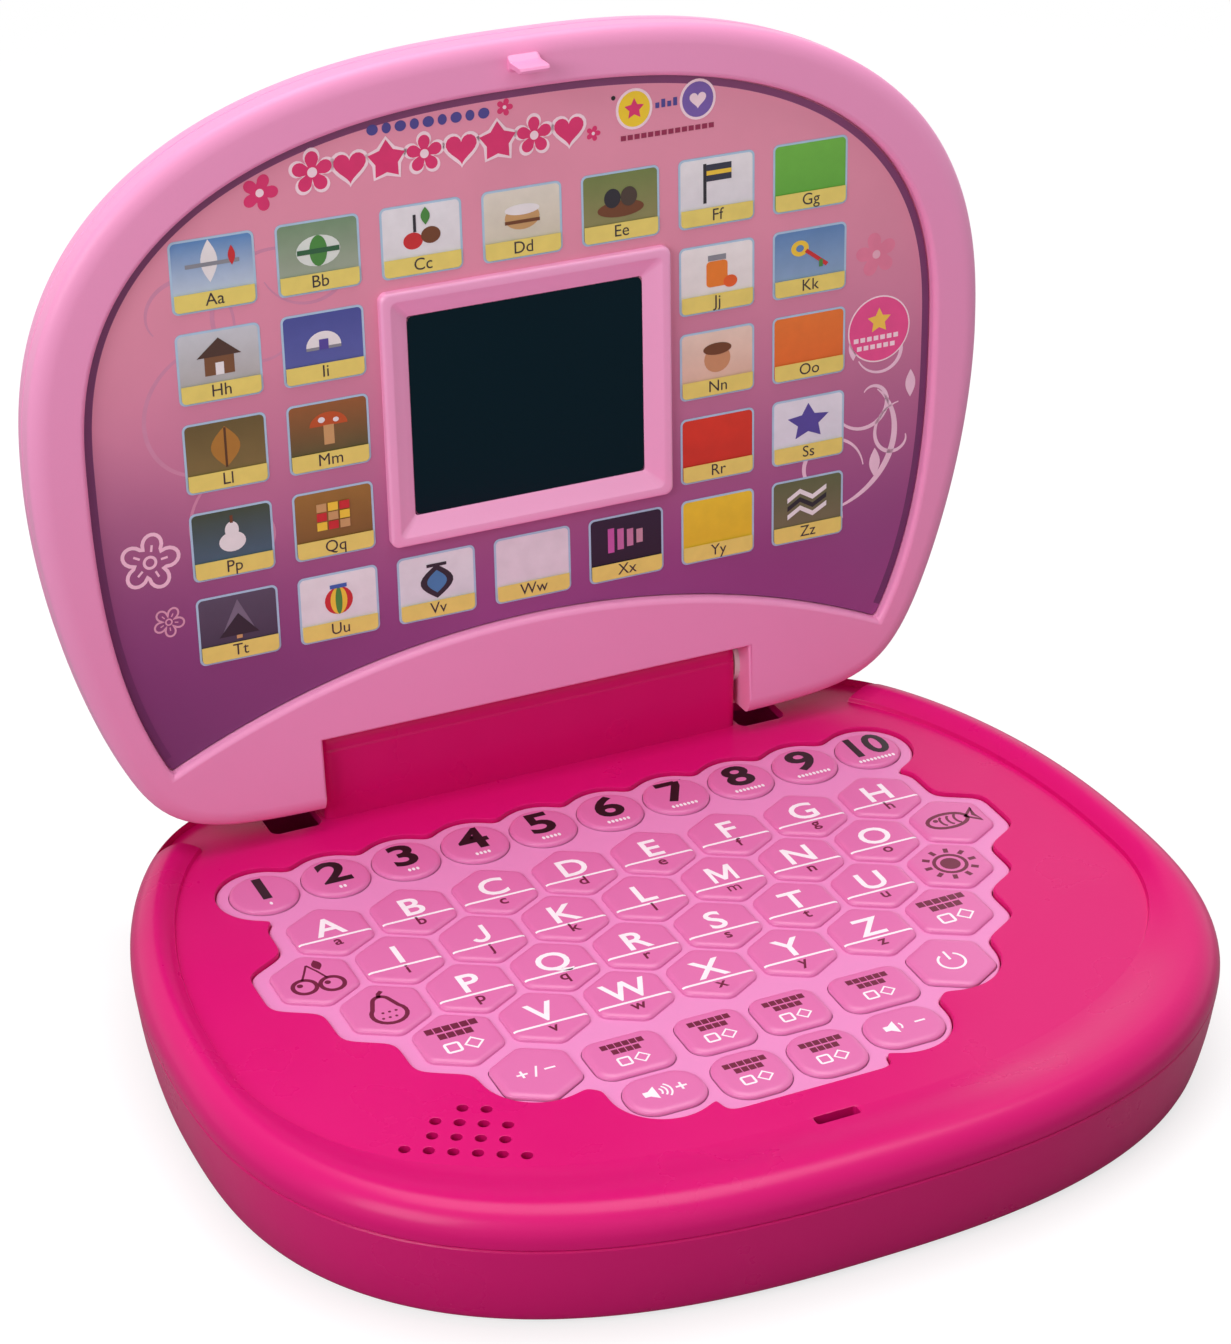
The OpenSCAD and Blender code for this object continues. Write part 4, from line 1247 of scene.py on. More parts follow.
def letter_legend(sheet, sign, x, y, lay):
    """White capital, white underline and a small dark letter."""
    if sign == "M":
        patch(sheet, capital_m * (6.0, 6.3) + (x, y - 1.9), white_ink, 1, lay)
    elif sign == "J":
        hook = ellipse(x - 0.5, y + 0.1, 1.6, 1.55, 12, 0, -165)
        ribbon(sheet, np.concatenate([[(x + 1.1, y + 4.4)], hook]), 1.0, white_ink, 1, lay)
    else:
        lettering(sheet, sign, x, y - 1.9, 6.3, white_ink, 1, lay, bold=0.014, wide=1.04)
    run = np.linspace(-8.2, 8.2, 31)
    ribbon(sheet, np.stack([x + run, np.full(31, y - 3.1)], 1), 0.62, white_ink, 1, lay)
    bold = 0.0 if sign == "M" else 0.016
    lettering(sheet, sign.lower(), x, y - 6.1, 3.0, maroon_ink, 1, lay, bold=bold)


def cherries(sheet, x, y, lay):
    """A pair of cherries in outline."""
    for side, low in ((-1, -1.8), (1, -2.6)):
        ribbon(sheet, ellipse(x + side * 2.4, y + low, 2.1), 0.8, maroon_ink, 1, lay, closed=True)
        stalk = [(x + side * 2.2, y + low + 2), (x + side * 1.2, y + 2), (x, y + 4.4)]
        ribbon(sheet, stalk, 0.4, maroon_ink, 1, lay)
        patch(sheet, ellipse(x + side * 2.4 - 0.7, y + low + 0.6, 0.55), maroon_ink, 2, lay)
    patch(sheet, drop(x + 1.8, y + 3.9, 0.9, 1.6), maroon_ink, 1, lay)


def pear(sheet, x, y, lay):
    """A pear with its stalk and a few seeds."""
    ring = np.concatenate([ellipse(x, y - 1.9, 3.1, 2.9, 16, 140, 400),
                           ellipse(x, y + 2, 1.5, 1.5, 9, 20, 160)])
    ribbon(sheet, ring, 0.8, maroon_ink, 1, lay, closed=True)
    ribbon(sheet, [(x, y + 3.3), (x + 0.3, y + 4.3), (x + 1.1, y + 5)], 0.8, maroon_ink, 1, lay)
    for k in range(6):
        seed_x, seed_y = x - 1.5 + 1.2 * (k % 3) + 0.5 * (k // 3), y - 3 + 1.6 * (k // 3)
        patch(sheet, ellipse(seed_x, seed_y, 0.28, count=8), maroon_ink, 1, lay)


def fish(sheet, x, y, lay):
    """A fish with three rows of scales."""
    ribbon(sheet, ellipse(x - 0.8, y, 4.1, 2.4), 0.8, maroon_ink, 1, lay, closed=True)
    tail = [(x + 3.0, y), (x + 5.4, y + 2.3), (x + 4.7, y), (x + 5.4, y - 2.3)]
    ribbon(sheet, tail, 0.8, maroon_ink, 1, lay, closed=True)
    patch(sheet, ellipse(x - 3, y + 0.7, 0.5), maroon_ink, 1, lay)
    for k in range(3):
        ribbon(sheet, ellipse(x - 1.4 + 1.5 * k, y, 0.8, 1.5, 9, 100, 260), 0.5,
               maroon_ink, 1, lay)


def sun(sheet, x, y, lay):
    """A disc, a ring and ten rays."""
    patch(sheet, ellipse(x, y, 1.9), maroon_ink, 1, lay)
    ribbon(sheet, ellipse(x, y, 3.0), 0.7, maroon_ink, 1, lay, closed=True)
    for k in range(10):
        c, s = math.cos(k * math.pi / 5), math.sin(k * math.pi / 5)
        ray = [(x + 3.8 * c, y + 3.8 * s), (x + 5.2 * c, y + 5.2 * s)]
        ribbon(sheet, ray, 0.9, maroon_ink, 1, lay)


def mode_marks(sheet, x, y, lay):
    """The marks of a key that changes the game."""
    speckled_rows(sheet, x, y, lay)
    white_pair(sheet, x, y - 2.4, lay)


def larger(lay, x, y, factor):
    """The same lay, for a drawing made larger about one point."""
    return lambda flat, lift: lay((flat - (x, y)) * factor + (x, y), lift)


legends = new_sheet()
pictures = {"1": cherries, "2": fish, "3": pear, "4": sun, "5": mode_marks, "6": mode_marks}
for row, signs in enumerate(row_signs):
    for i, sign in enumerate(signs):
        x, y = letter_spot(row, i)
        lay = cap_lay(hex_ring + np.array((x, y)), dome_edge)
        if sign in pictures:
            pictures[sign](legends, x, y, larger(lay, x, y, 1.2))
        else:
            letter_legend(legends, sign, x, y, lay)
print_sheet("letter_legends", legends, "base")

# %% The numbers
for number, (x, y) in enumerate(digit_spots, 1):
    sheet = new_sheet()
    lay = cap_lay(cap_rings[f"digit_key_{number}"], digit_edge)
    lettering(sheet, str(number), x, y - 2.3, 7.9, black_ink, 2, lay, bold=0.026,
              wide=0.98 if number == 10 else 1.2)
    for k in range(number):
        pip_x = x + (k - (number - 1) / 2) * 0.95
        patch(sheet, ellipse(pip_x, y - 4.6, 0.36, 0.6, 8), white_ink, 1, lay)
    print_sheet(f"digit_legend_{number}", sheet, f"digit_key_{number}")


# %% The command keys
def speaker_sign(sheet, x, y, lay, waves):
    """A small loudspeaker with its waves and a plus or a minus."""
    patch(sheet, [(x - 4.6, y - 0.8), (x - 3.4, y - 0.8), (x - 1.8, y - 2.1), (x - 1.8, y + 2.1),
                  (x - 3.4, y + 0.8), (x - 4.6, y + 0.8)], white_ink, 1, lay)
    for k in range(waves):
        wave = ellipse(x - 1.8, y, 1.2 + k, 1.3 + 0.8 * k, 9, -45, 45)
        ribbon(sheet, wave, 0.4, white_ink, 1, lay)


def sign_bars(sheet, x, y, lay, plus):
    """A minus, or a plus when asked."""
    patch(sheet, bar(x - 1.2, y - 0.25, x + 1.2, y + 0.25), white_ink, 1, lay)
    if plus:
        patch(sheet, bar(x - 0.25, y - 1.2, x + 0.25, y + 1.2), white_ink, 2, lay)


for name in command_keys:
    x, y = cap_rings[name].mean(0)
    sheet = new_sheet()
    lay = cap_lay(cap_rings[name], command_edge)
    if name == "power_key":
        ribbon(sheet, ellipse(x, y - 0.2, 2.9, 2.9, 33, 122, 418), 0.55, white_ink, 1, lay)
        patch(sheet, bar(x - 0.28, y + 0.4, x + 0.28, y + 3.6), white_ink, 1, lay)
    elif name == "plus_minus_key":
        sign_bars(sheet, x - 3, y, lay, True)
        ribbon(sheet, [(x - 0.7, y - 1.7), (x + 0.7, y + 1.7)], 0.45, white_ink, 1, lay)
        sign_bars(sheet, x + 3, y, lay, False)
    elif "volume" in name:
        speaker_sign(sheet, x, y, lay, 3 if "up" in name else 1)
        sign_bars(sheet, x + 3.6, y, lay, "up" in name)
    else:
        mode_marks(sheet, x, y, lay)
    print_sheet(name.replace("_key", "_legend"), sheet, name)

# %% [markdown]
# ## The lid
#
# The lid is drawn lying on its back: X runs along the hinge axis, Y up the lid and
# Z towards the child. A last matrix leans it back on its hinge. Its foot is two
# lobes that turn beside the hinge block, so its outline is cut by a notch.

# %% Shape numbers of the lid
lid_lean = 2.3
lid_place = (Matrix.Translation((0, hinge_y * MM, hinge_z * MM))
             @ Matrix.Rotation(math.radians(90 - lid_lean), 4, "X"))
lid_half = half_width - 1.5
lid_reach = 158
front_z = 11
front_t = 6
lid_t = 15
split_z = front_z - front_t
back_z = front_z - lid_t
recess_d = 2.5
panel_t = 1
panel_z = front_z - recess_d
tray_z = panel_z - panel_t
lid_top_reach = 82.4
lid_mid = lid_reach - lid_top_reach
lcd_y = 78.2
lobe_x = 52.6
notch_y = 7
notch_clear = 8.6
wedge_y = 40
toe_r = 2.5
toe_lean = 12

lid_ring = oval_ring(lid_half, 152, 1.83, lid_top_reach, 2.51, lid_mid + front_z, lid_reach,
                     centre=(0, lid_mid))
recess_ring = oval_ring(lid_half - 11.8, 114, 2.6, 68.9, 2.5, 114, 114, centre=(0, lcd_y))
recess_arc_r = 202
recess_foot_y = 26


def side_solid(name, radius, back, half):
    """Side view of the lid, a foot with a small toe in front, drawn out along X."""
    back_turn = np.radians(np.linspace(-205, -90, 29))
    toe_turn = np.radians(np.linspace(-90, -toe_lean, 9))
    arc = np.concatenate([np.stack([np.sin(back_turn), np.cos(back_turn)], 1) * radius,
                          np.stack([np.sin(toe_turn), np.cos(toe_turn)], 1) * toe_r
                          + (toe_r - radius, radius - toe_r)])
    far = 2 * lid_reach
    rise = (far - arc[-1, 0]) * math.tan(math.radians(toe_lean))
    profile = np.concatenate([[(far, arc[-1, 1] + rise), (far, back), (wedge_y, back)], arc])
    rings = [np.column_stack([np.full(len(profile), x), profile]) for x in (-half, half)]
    return mend_normals(loft(name, rings))


def notch_solid():
    """What the hinge block needs free between the lobes."""
    box = block("notch", (-lobe_x, -30, -30), (lobe_x, notch_y, 30))
    return carve(box, mend_normals(rod("notch_round", -lobe_x, lobe_x, notch_clear)), "UNION")


def recess_foot(x):
    """Height of the disc that cuts the foot of the recess."""
    return recess_foot_y - recess_arc_r + np.sqrt(recess_arc_r ** 2 - x ** 2)


def recess_outline(grow=0.0):
    """The display recess: the oval opening, with its foot cut by a large disc."""
    ring = inset(recess_ring, -grow)
    ring[:, 1] = np.maximum(ring[:, 1], recess_foot(ring[:, 0]) - grow)
    return ring


# %% Lid, front shell
lid_edge_in, lid_edge_h = 4.2, 2.6
front_rings = [at_height(inset(lid_ring, 0.3), split_z), at_height(lid_ring, split_z + 0.3)]
for step in range(11):
    turn = math.pi / 2 * step / 10
    front_rings.append(at_height(inset(lid_ring, lid_edge_in * (1 - math.cos(turn))),
                                 front_z - lid_edge_h + lid_edge_h * math.sin(turn)))
lid_front = loft("lid_front_skin", front_rings)

# %% The recess with its rounded lip
lip_round = 1.3
recess_rings = [at_height(recess_outline(), tray_z)]
for step in range(7):
    turn = math.pi / 2 * step / 6
    recess_rings.append(at_height(recess_outline(lip_round * (1 - math.cos(turn))),
                                  front_z - lip_round + lip_round * math.sin(turn)))
recess_rings.append(at_height(recess_outline(lip_round + 0.02), front_z + 3))
carve(lid_front, loft("recess", recess_rings))
carve(lid_front, side_solid("foot_round", front_z, back_z, 2 * lid_half), "INTERSECT")
carve(lid_front, notch_solid())


def on_notch(a, b):
    """True for the front edges of the notch between the lobes."""
    return (min(a.z, b.z) > front_z - 0.01 and max(abs(a.x), abs(b.x)) < lobe_x + 0.01
            and max(a.y, b.y) < notch_y + 0.01)


round_edges(lid_front, on_notch, 0.7, steps=3, least_angle=40)

# %% The catch in the middle of the lid top
catch_y, catch_top_z = 153, 17.6


def catch_solid():
    """A little hooked block: its side view drawn out along X with rounded flanks."""
    side = np.array([(-2.6, front_z - 1), (-1.5, front_z + 0.5), (-0.75, front_z + 1.4),
                     (-0.6, catch_top_z - 1.6), (-0.9, catch_top_z - 0.9),
                     (-0.6, catch_top_z - 0.2), (0.0, catch_top_z),
                     (0.5, catch_top_z - 0.3), (0.6, catch_top_z - 0.9),
                     (0.7, front_z + 1.4), (1.4, front_z + 0.5), (2.4, front_z - 1)])
    rings = []
    for x, share in ((-3.5, 0.8), (-3.3, 0.93), (-2.9, 1.0), (2.9, 1.0), (3.3, 0.93), (3.5, 0.8)):
        rings.append(np.column_stack([np.full(len(side), x), side[:, 0] * share + catch_y,
                                      (side[:, 1] - front_z) * (0.5 + share / 2) + front_z]))
    return mend_normals(loft("catch", rings))


carve(lid_front, catch_solid(), "UNION")
shade(lid_front)
place(lid_front, lid_place)
hand_over(lid_front, "lid", lid_plastic, ["lid_front_shell"])

# %% Lid, back shell
back_profile = [(9.5, 0), (7.5, 0.12), (6.1, 0.35), (4.8, 0.75), (3.7, 1.25), (2.7, 1.9),
                (1.8, 2.7), (1.1, 3.6), (0.6, 4.6), (0.3, 5.4), (0.05, 7.5)]
back_rings = [at_height(inset(lid_ring, sink), back_z + rise) for sink, rise in back_profile]
back_rings += [at_height(inset(lid_ring, 0.0), split_z - 0.3),
               at_height(inset(lid_ring, 0.3), split_z - 0.02)]
lid_back = loft("lid_back_skin", back_rings)
lobe_spare = 0.3    # what the last cut of the foot takes off again


def lobe_solid(side):
    """The thick foot beside the notch: it grows out of the back towards the hinge."""
    outer = np.arange(RING)[(lid_ring[:, 1] < wedge_y) & (lid_ring[:, 0] * side > 0)]
    start = int(np.argmax(np.diff(outer, prepend=outer[-1] - RING + 1) > 1))
    outer = np.roll(outer, -start)
    inner = np.array([(side * lobe_x * 0.9, lid_ring[outer[end], 1]) for end in (-1, 0)])
    rings = []
    for sink, rise in back_profile + [(0.4, split_z - back_z - 1)]:
        ring = np.concatenate([inset(lid_ring, sink + 0.03)[outer], inner])
        back = back_z - lobe_spare - (front_z + back_z + 1) * (1 - ring[:, 1] / wedge_y)
        height = back + rise * (split_z - back) / (split_z - back_z)
        rings.append(at_height(ring, height))
    return mend_normals(loft("lobe", rings))


for side in (-1, 1):
    carve(lid_back, lobe_solid(side), "UNION")
carve(lid_back, side_solid("foot_round", front_z, back_z - 0.01, 2 * lid_half), "INTERSECT")
carve(lid_back, notch_solid())
shade(lid_back)
place(lid_back, lid_place)
hand_over(lid_back, "lid", lid_plastic, ["lid_back_shell"])

# %% [markdown]
# ## The printed panel
#
# The panel lies at the bottom of the lid's recess. Its ground fades from a dusty pink
# at the top to purple at the bottom. A dark band along its top and sides is partly a
# printed border and partly painted shade under the lip of the recess. Light flowers
# and vines are printed over it, then the picture cards.

# %% Ground of the panel
def panel_fade(name, top, bottom, corner):
    """Fades with height, and darkens towards the lower left."""
    material, tree = new_material(name)
    where = add_node(tree, "ShaderNodeTexCoord").outputs["Object"]
    axes = add_node(tree, "ShaderNodeSeparateXYZ", Vector=where)
    height = spread(tree, axes.outputs["Z"], 60 * MM, 160 * MM, interpolation_type="SMOOTHSTEP")
    fade = mix_colours(tree, height, bottom, top)
    slope = calculate(tree, "MULTIPLY_ADD", axes.outputs["X"], 0.7, axes.outputs["Z"])
    dark = mix_colours(tree, spread(tree, slope, 60 * MM, -20 * MM), fade, corner)
    grain = add_node(tree, "ShaderNodeTexNoise", Vector=where, Scale=45, Detail=5.0)
    level = spread(tree, grain.outputs["Fac"], 0.0, 1.0, 0.92, 1.08)
    colour = add_node(tree, "ShaderNodeVectorMath", operation="SCALE",
                      Vector=dark, Scale=level)
    surface = add_node(tree, "ShaderNodeBsdfPrincipled", Base_Color=colour.outputs["Vector"],
                       Roughness=0.34)
    end_tree(tree, surface.outputs["BSDF"])
    return material


panel_gap = 0.3
opening_size = (54.8, 45.6)
panel_ink = panel_fade("panel_fade", linear(236, 150, 176), linear(150, 66, 134),
                       linear(112, 54, 106))
panel = prism("printed_panel", recess_outline(-panel_gap), tray_z, panel_z)
opening = plate_ring(*opening_size, 1.5, centre=(0, lcd_y))
carve(panel, prism("lcd_opening", opening, tray_z - 1, panel_z + 1))
shade(panel)
place(panel, lid_place)
hand_over(panel, "lid", panel_ink, ["display_panel"])


# %% Band, flowers and vines
def on_panel(flat, lift):
    """Lays ink on the panel."""
    return np.column_stack([flat, np.full(len(flat), panel_z + lift)])


art = new_sheet()
# A dark band round the top and sides of the recess edge, none along its foot: partly a printed
# border, partly painted shade cast by the recess lip.
band = recess_outline(-1.2)
sides = band[:, 1] > recess_foot(band[:, 0]) + 3
start = int(np.argmax(sides & ~np.roll(sides, 1)))
band = np.roll(band, -start, 0)[:int(sides.sum())]
border_and_shade_ink = {"y": (20, 140), "low": linear(104, 48, 100), "high": linear(126, 56, 108)}
ribbon(art, band, 1.7, border_and_shade_ink, 1, on_panel)
pale = linear(226, 164, 190)
blush = linear(214, 142, 174)
petal_pink = linear(250, 200, 222)
vine_ink = linear(244, 206, 226)


def taper(path, widest):
    """Line widths that swell in the middle and end thin."""
    return 0.25 + widest * np.sin(np.linspace(0.05, np.pi, len(path)))


left_vines = ((-58, 106, 17, 7, 20, 330), (-47, 118, 12, 3, 200, 520),
              (-72, 84, 20, 8, 60, 300), (-66, 60, 15, 4, 90, 420),
              (-78, 108, 14, 5, -40, 200))
right_vines = ((76, 58, 22, 12, -95, 30, 1.3), (84, 62, 9, 2, 180, 480, 0.8),
               (73, 46, 10, 3, 0, 260, 0.8), (88, 74, 7, 1.5, 200, 520, 0.7),
               (64, 36, 14, 8, -10, 100, 0.9), (92, 52, 8, 2, 90, 350, 0.7))
for shape in left_vines:
    path = curl(*shape, 48)
    ribbon(art, path, taper(path, 0.7), blush, 1, on_panel)
for *shape, wide in right_vines:
    path = curl(*shape, 40)
    ribbon(art, path, taper(path, wide), vine_ink, 1, on_panel)
for x, y, wide, tall in ((70, 37, 1.6, 4.2), (86, 46, 1.4, 3.6), (95, 64, 1.3, 3.4),
                         (80, 75, 1.2, 3)):
    patch(art, drop(x, y, wide, tall), vine_ink, 2, on_panel)


def hollow_flower(x, y, radius, ink, turn=80):
    """Five petals drawn in outline round a small ring."""
    ribbon(art, flower(x, y, radius, first=turn), radius * 0.13, ink, 2, on_panel, closed=True)
    ribbon(art, ellipse(x, y, radius * 0.2), radius * 0.1, ink, 2, on_panel, closed=True)
    for k in range(5):
        c, s = (f(math.radians(turn + 72 * k)) for f in (math.cos, math.sin))
        vein = [(x + radius * share * c, y + radius * share * s) for share in (0.38, 0.62)]
        ribbon(art, vein, radius * 0.08, ink, 2, on_panel)


hollow_flower(-87.5, 56.5, 6.4, petal_pink)
hollow_flower(-84.5, 42, 3.4, pale, 60)
patch(art, flower(85.5, 96.5, 5.2, first=100), linear(232, 128, 160), 1, on_panel)
patch(art, ellipse(85.5, 96.5, 1.0), linear(240, 180, 200), 2, on_panel)

# %% Title row, discs and badge
raspberry = linear(226, 44, 112)
rose_white = linear(255, 226, 236)
violet_ink = linear(74, 66, 146)


def outlined(ring, ink, grow, layer=3):
    """A filled shape with a pale rim round it."""
    middle = ring.mean(0)
    away = ring - middle
    length = np.linalg.norm(away, axis=1)[:, None] + 1e-9
    patch(art, middle + away * (1 + grow / length), rose_white, layer, on_panel)
    patch(art, ring, ink, layer + 1, on_panel)


title_shapes = ((-46.5, 4.0, "flower"), (-38.3, 3.6, "heart"), (-30.2, 3.6, "star"),
                (-21.8, 3.6, "flower"), (-13.5, 3.5, "heart"), (-5.3, 3.6, "star"),
                (3.0, 3.6, "flower"), (11.0, 3.4, "heart"))
for x, size, kind in title_shapes:
    y = 136.2 + 0.012 * x
    size *= 1.12
    ring = {"flower": flower(x, y, size), "heart": heart(x, y, size * 0.95),
            "star": star(x, y, size * 1.08, 5, 0.6)}[kind]
    outlined(ring, raspberry, 0.75)
    if kind == "flower":
        patch(art, ellipse(x, y, size * 0.24), rose_white, 5, on_panel)
for k in range(9):
    patch(art, ellipse(-33 + 3.1 * k, 142.6, 1.0 if k % 2 else 1.25, 1.15),
          violet_ink, 3, on_panel)
for x, y, size in ((-58, 133, 4.0), (-3.5, 143.2, 1.9), (16.6, 134.6, 1.7)):
    patch(art, flower(x, y, size, first=70), raspberry, 2, on_panel)
    patch(art, ellipse(x, y, size * 0.22), rose_white, 3, on_panel)
disc_y = 138.6
for x, ink, inner, sign in (
        (26.2, linear(250, 214, 40), raspberry, star(26.2, disc_y, 2.4, 5, 0.5)),
        (41.2, linear(122, 92, 176), rose_white, heart(41.2, disc_y, 2.1))):
    outlined(ellipse(x, disc_y, 3.7, 3.9, 30), ink, 0.6)
    patch(art, sign, inner, 5, on_panel)
for k in range(4):
    x = 31.2 + 1.4 * k
    patch(art, bar(x, 138, x + 0.9, 139.2 + 0.6 * (k % 2)), violet_ink, 3, on_panel)
for k in range(14):
    patch(art, bar(23.0 + 1.6 * k, 131.9, 24.2 + 1.6 * k, 133.0), linear(150, 30, 76), 3, on_panel)
outlined(ellipse(86.5, 78.6, 7.6, 7.6, 48), linear(238, 78, 146), 0.35, 2)
patch(art, star(86.5, 80.6, 3.1, 5, 0.5), linear(250, 206, 80), 4, on_panel)
for row, count in enumerate((7, 6)):
    for k in range(count):
        x, y = 86.0 + (k - count / 2) * 1.7, 76.0 - 2.0 * row
        patch(art, bar(x, y, x + 1.2, y + 1.1), rose_white, 4, on_panel)
patch(art, ellipse(21.4, 141.6, 0.5), black_ink, 3, on_panel)
print("title, discs and badge drawn")

# %% [markdown]
# ## Picture cards
#
# Twenty-six cards stand round the display, one for each letter. Each card is a pale
# border, a picture ground that fades from top to bottom, a simple picture, and a
# yellow band that carries its letter. Pictures are lists of flat shapes in a square
# that runs from -1 to 1, so a card is one line of data.

# %% Colours and pictures of the cards
c = linear
RED, ORANGE, YELLOW = c(206, 40, 44), c(240, 130, 36), c(246, 206, 60)
GREEN, BLUE = c(72, 140, 60), c(54, 96, 176)
DARK, BROWN, PALE, VIOLET = c(34, 30, 40), c(112, 62, 30), c(240, 236, 236), c(84, 70, 158)
TAN, GREY = c(206, 160, 104), c(140, 142, 150)
patchwork = [(bar(x, y, x + 0.35, y + 0.35), (YELLOW, RED, TAN)[(i + j) % 3])
             for i, x in enumerate((-0.6, -0.2, 0.2)) for j, y in enumerate((-0.6, -0.2, 0.2))]
chime_bars = [(bar(-0.7 + 0.36 * k, -0.5 + 0.08 * k, -0.46 + 0.36 * k, 0.6 - 0.08 * k),
               c(204, 90 + 20 * k, 170)) for k in range(4)]
zigzag = np.array([(-0.8, 0), (-0.3, 0.36), (0.2, 0), (0.75, 0.36), (0.75, 0.14), (0.2, -0.22),
                   (-0.3, 0.14), (-0.8, -0.22)])
zigzags = [(zigzag + (0, y), ink) for y, ink in ((0.3, PALE), (-0.08, DARK), (-0.46, PALE))]
card_pictures = {
    "A": [c(92, 140, 196), c(214, 226, 236), (drop(-0.1, 0.2, 0.28, 0.85), PALE),
          (bar(-0.9, 0.0, 0.9, 0.16), GREY), (drop(0.65, 0.3, 0.12, 0.4), RED)],
    "B": [c(120, 150, 116), c(170, 178, 160), (ellipse(0, -0.1, 0.75, 0.62), c(226, 234, 226)),
          (ellipse(0, -0.1, 0.3, 0.62), GREEN), (bar(-0.72, -0.2, 0.72, 0.0), c(40, 96, 58))],
    "C": [c(238, 236, 240), c(232, 230, 232), (ellipse(-0.3, -0.35, 0.34), RED),
          (ellipse(0.32, -0.2, 0.34), BROWN), (bar(-0.28, 0.0, -0.18, 0.7), DARK),
          (drop(0.15, 0.6, 0.16, 0.36), GREEN)],
    "D": [c(232, 226, 210), c(214, 206, 182), (ellipse(0, -0.1, 0.62, 0.5), TAN),
          (ellipse(0, 0.22, 0.62, 0.22), PALE), (bar(-0.62, -0.34, 0.62, -0.2), BROWN)],
    "E": [c(116, 132, 70), c(150, 140, 92), (ellipse(0, -0.42, 0.85, 0.34), BROWN),
          (ellipse(-0.3, 0.05, 0.3, 0.4), DARK), (ellipse(0.3, 0.05, 0.3, 0.4), c(70, 54, 44))],
    "F": [c(240, 238, 240), c(226, 224, 230), (bar(-0.5, -0.8, -0.38, 0.85), DARK),
          (bar(-0.38, 0.1, 0.55, 0.8), c(44, 46, 66)), (bar(-0.38, 0.36, 0.55, 0.54), YELLOW)],
    "G": [c(112, 190, 66), c(98, 176, 56)],
    "H": [c(206, 210, 216), c(176, 172, 166), (bar(-0.5, -0.7, 0.5, 0.1), c(122, 80, 48)),
          (np.array([(-0.75, 0.05), (0.75, 0.05), (0, 0.8)]), c(74, 48, 36)),
          (bar(-0.14, -0.7, 0.14, -0.2), PALE)],
    "I": [c(72, 80, 156), c(92, 100, 172), (ellipse(0, -0.3, 0.6, 0.62, 16, 0, 180), PALE),
          (bar(-0.6, -0.42, 0.6, -0.3), GREY), (bar(-0.16, -0.42, 0.16, 0.0), VIOLET)],
    "J": [c(244, 240, 238), c(236, 230, 226), (plate_ring(0.8, 1.1, 0.16, 4, (0, -0.15)), ORANGE),
          (bar(-0.34, 0.42, 0.34, 0.66), GREY), (ellipse(0.5, -0.55, 0.26), c(236, 96, 30))],
    "K": [c(96, 138, 190), c(150, 178, 206), (ellipse(-0.38, 0.3, 0.34), YELLOW),
          (ellipse(-0.38, 0.3, 0.15), c(96, 138, 190)),
          (np.array([(-0.2, 0.12), (0.62, -0.62), (0.72, -0.5), (-0.1, 0.24)]), RED),
          (bar(0.36, -0.62, 0.5, -0.3), GREEN)],
    "L": [c(104, 88, 44), c(132, 112, 62), (drop(0, 0, 0.5, 0.85), c(176, 122, 44)),
          (bar(-0.04, -0.85, 0.04, 0.8), c(88, 54, 22))],
    "M": [c(150, 92, 44), c(70, 84, 48), (ellipse(0, 0.1, 0.66, 0.56, 16, 0, 180), c(196, 84, 30)),
          (bar(-0.18, -0.7, 0.18, 0.12), TAN), (ellipse(-0.24, 0.36, 0.12), PALE),
          (ellipse(0.26, 0.3, 0.1), PALE)],
    "N": [c(240, 214, 196), c(228, 184, 160), (ellipse(0, -0.15, 0.5, 0.58), c(206, 146, 104)),
          (ellipse(0, 0.3, 0.54, 0.26), BROWN)],
    "O": [c(240, 124, 44), c(234, 108, 34)],
    "P": [c(60, 76, 56), c(72, 104, 128), (ellipse(0, -0.3, 0.46, 0.42), PALE),
          (ellipse(0, 0.2, 0.24, 0.36), PALE), (bar(-0.05, 0.5, 0.05, 0.82), BROWN)],
    "Q": [c(156, 112, 46), c(120, 84, 36), *patchwork],
    "R": [c(222, 52, 28), c(206, 44, 26)],
    "S": [c(236, 236, 244), c(226, 228, 238), (star(0, 0, 0.85, 5, 0.5), VIOLET)],
    "T": [c(84, 76, 96), c(58, 50, 70),
          (np.array([(-0.55, -0.5), (0.55, -0.5), (0, 0.85)]), c(120, 110, 130)),
          (np.array([(-0.7, -0.7), (0.7, -0.7), (0, 0.25)]), DARK),
          (bar(-0.1, -0.85, 0.1, -0.7), TAN)],
    "U": [c(240, 238, 240), c(232, 228, 232), (ellipse(0, -0.1, 0.5, 0.6), RED),
          (ellipse(0, -0.1, 0.3, 0.6), YELLOW), (ellipse(0, -0.1, 0.12, 0.6), GREEN),
          (bar(-0.3, 0.45, 0.3, 0.62), BLUE)],
    "V": [c(238, 238, 242), c(224, 226, 232), (drop(0, -0.15, 0.6, 0.75), DARK),
          (drop(0, -0.15, 0.36, 0.5), c(70, 130, 180)), (bar(-0.36, 0.52, 0.36, 0.66), DARK)],
    "W": [c(238, 228, 236), c(232, 222, 230)],
    "X": [c(30, 18, 46), c(16, 10, 30), *chime_bars],
    "Y": [c(240, 206, 46), c(232, 194, 38)],
    "Z": [c(96, 104, 66), c(124, 112, 84), *zigzags],
}

# %% Where the cards stand
card_w, card_h = 18.4, 15.8
picture_half = (6.48, 5.4)
caption_h = 4.3
border_ink, caption_ink = linear(176, 206, 230), linear(238, 218, 112)
letter_ink = linear(50, 40, 46)
card_step = 1.208 * pitch
card_middle_x = -0.285
card_rows = (117.68, 97.73, 77.78, 57.64, 37.88)
card_spots = [(row, column) for row in range(5) for column in range(7)
              if row in (0, 4) or column not in (2, 3, 4)]


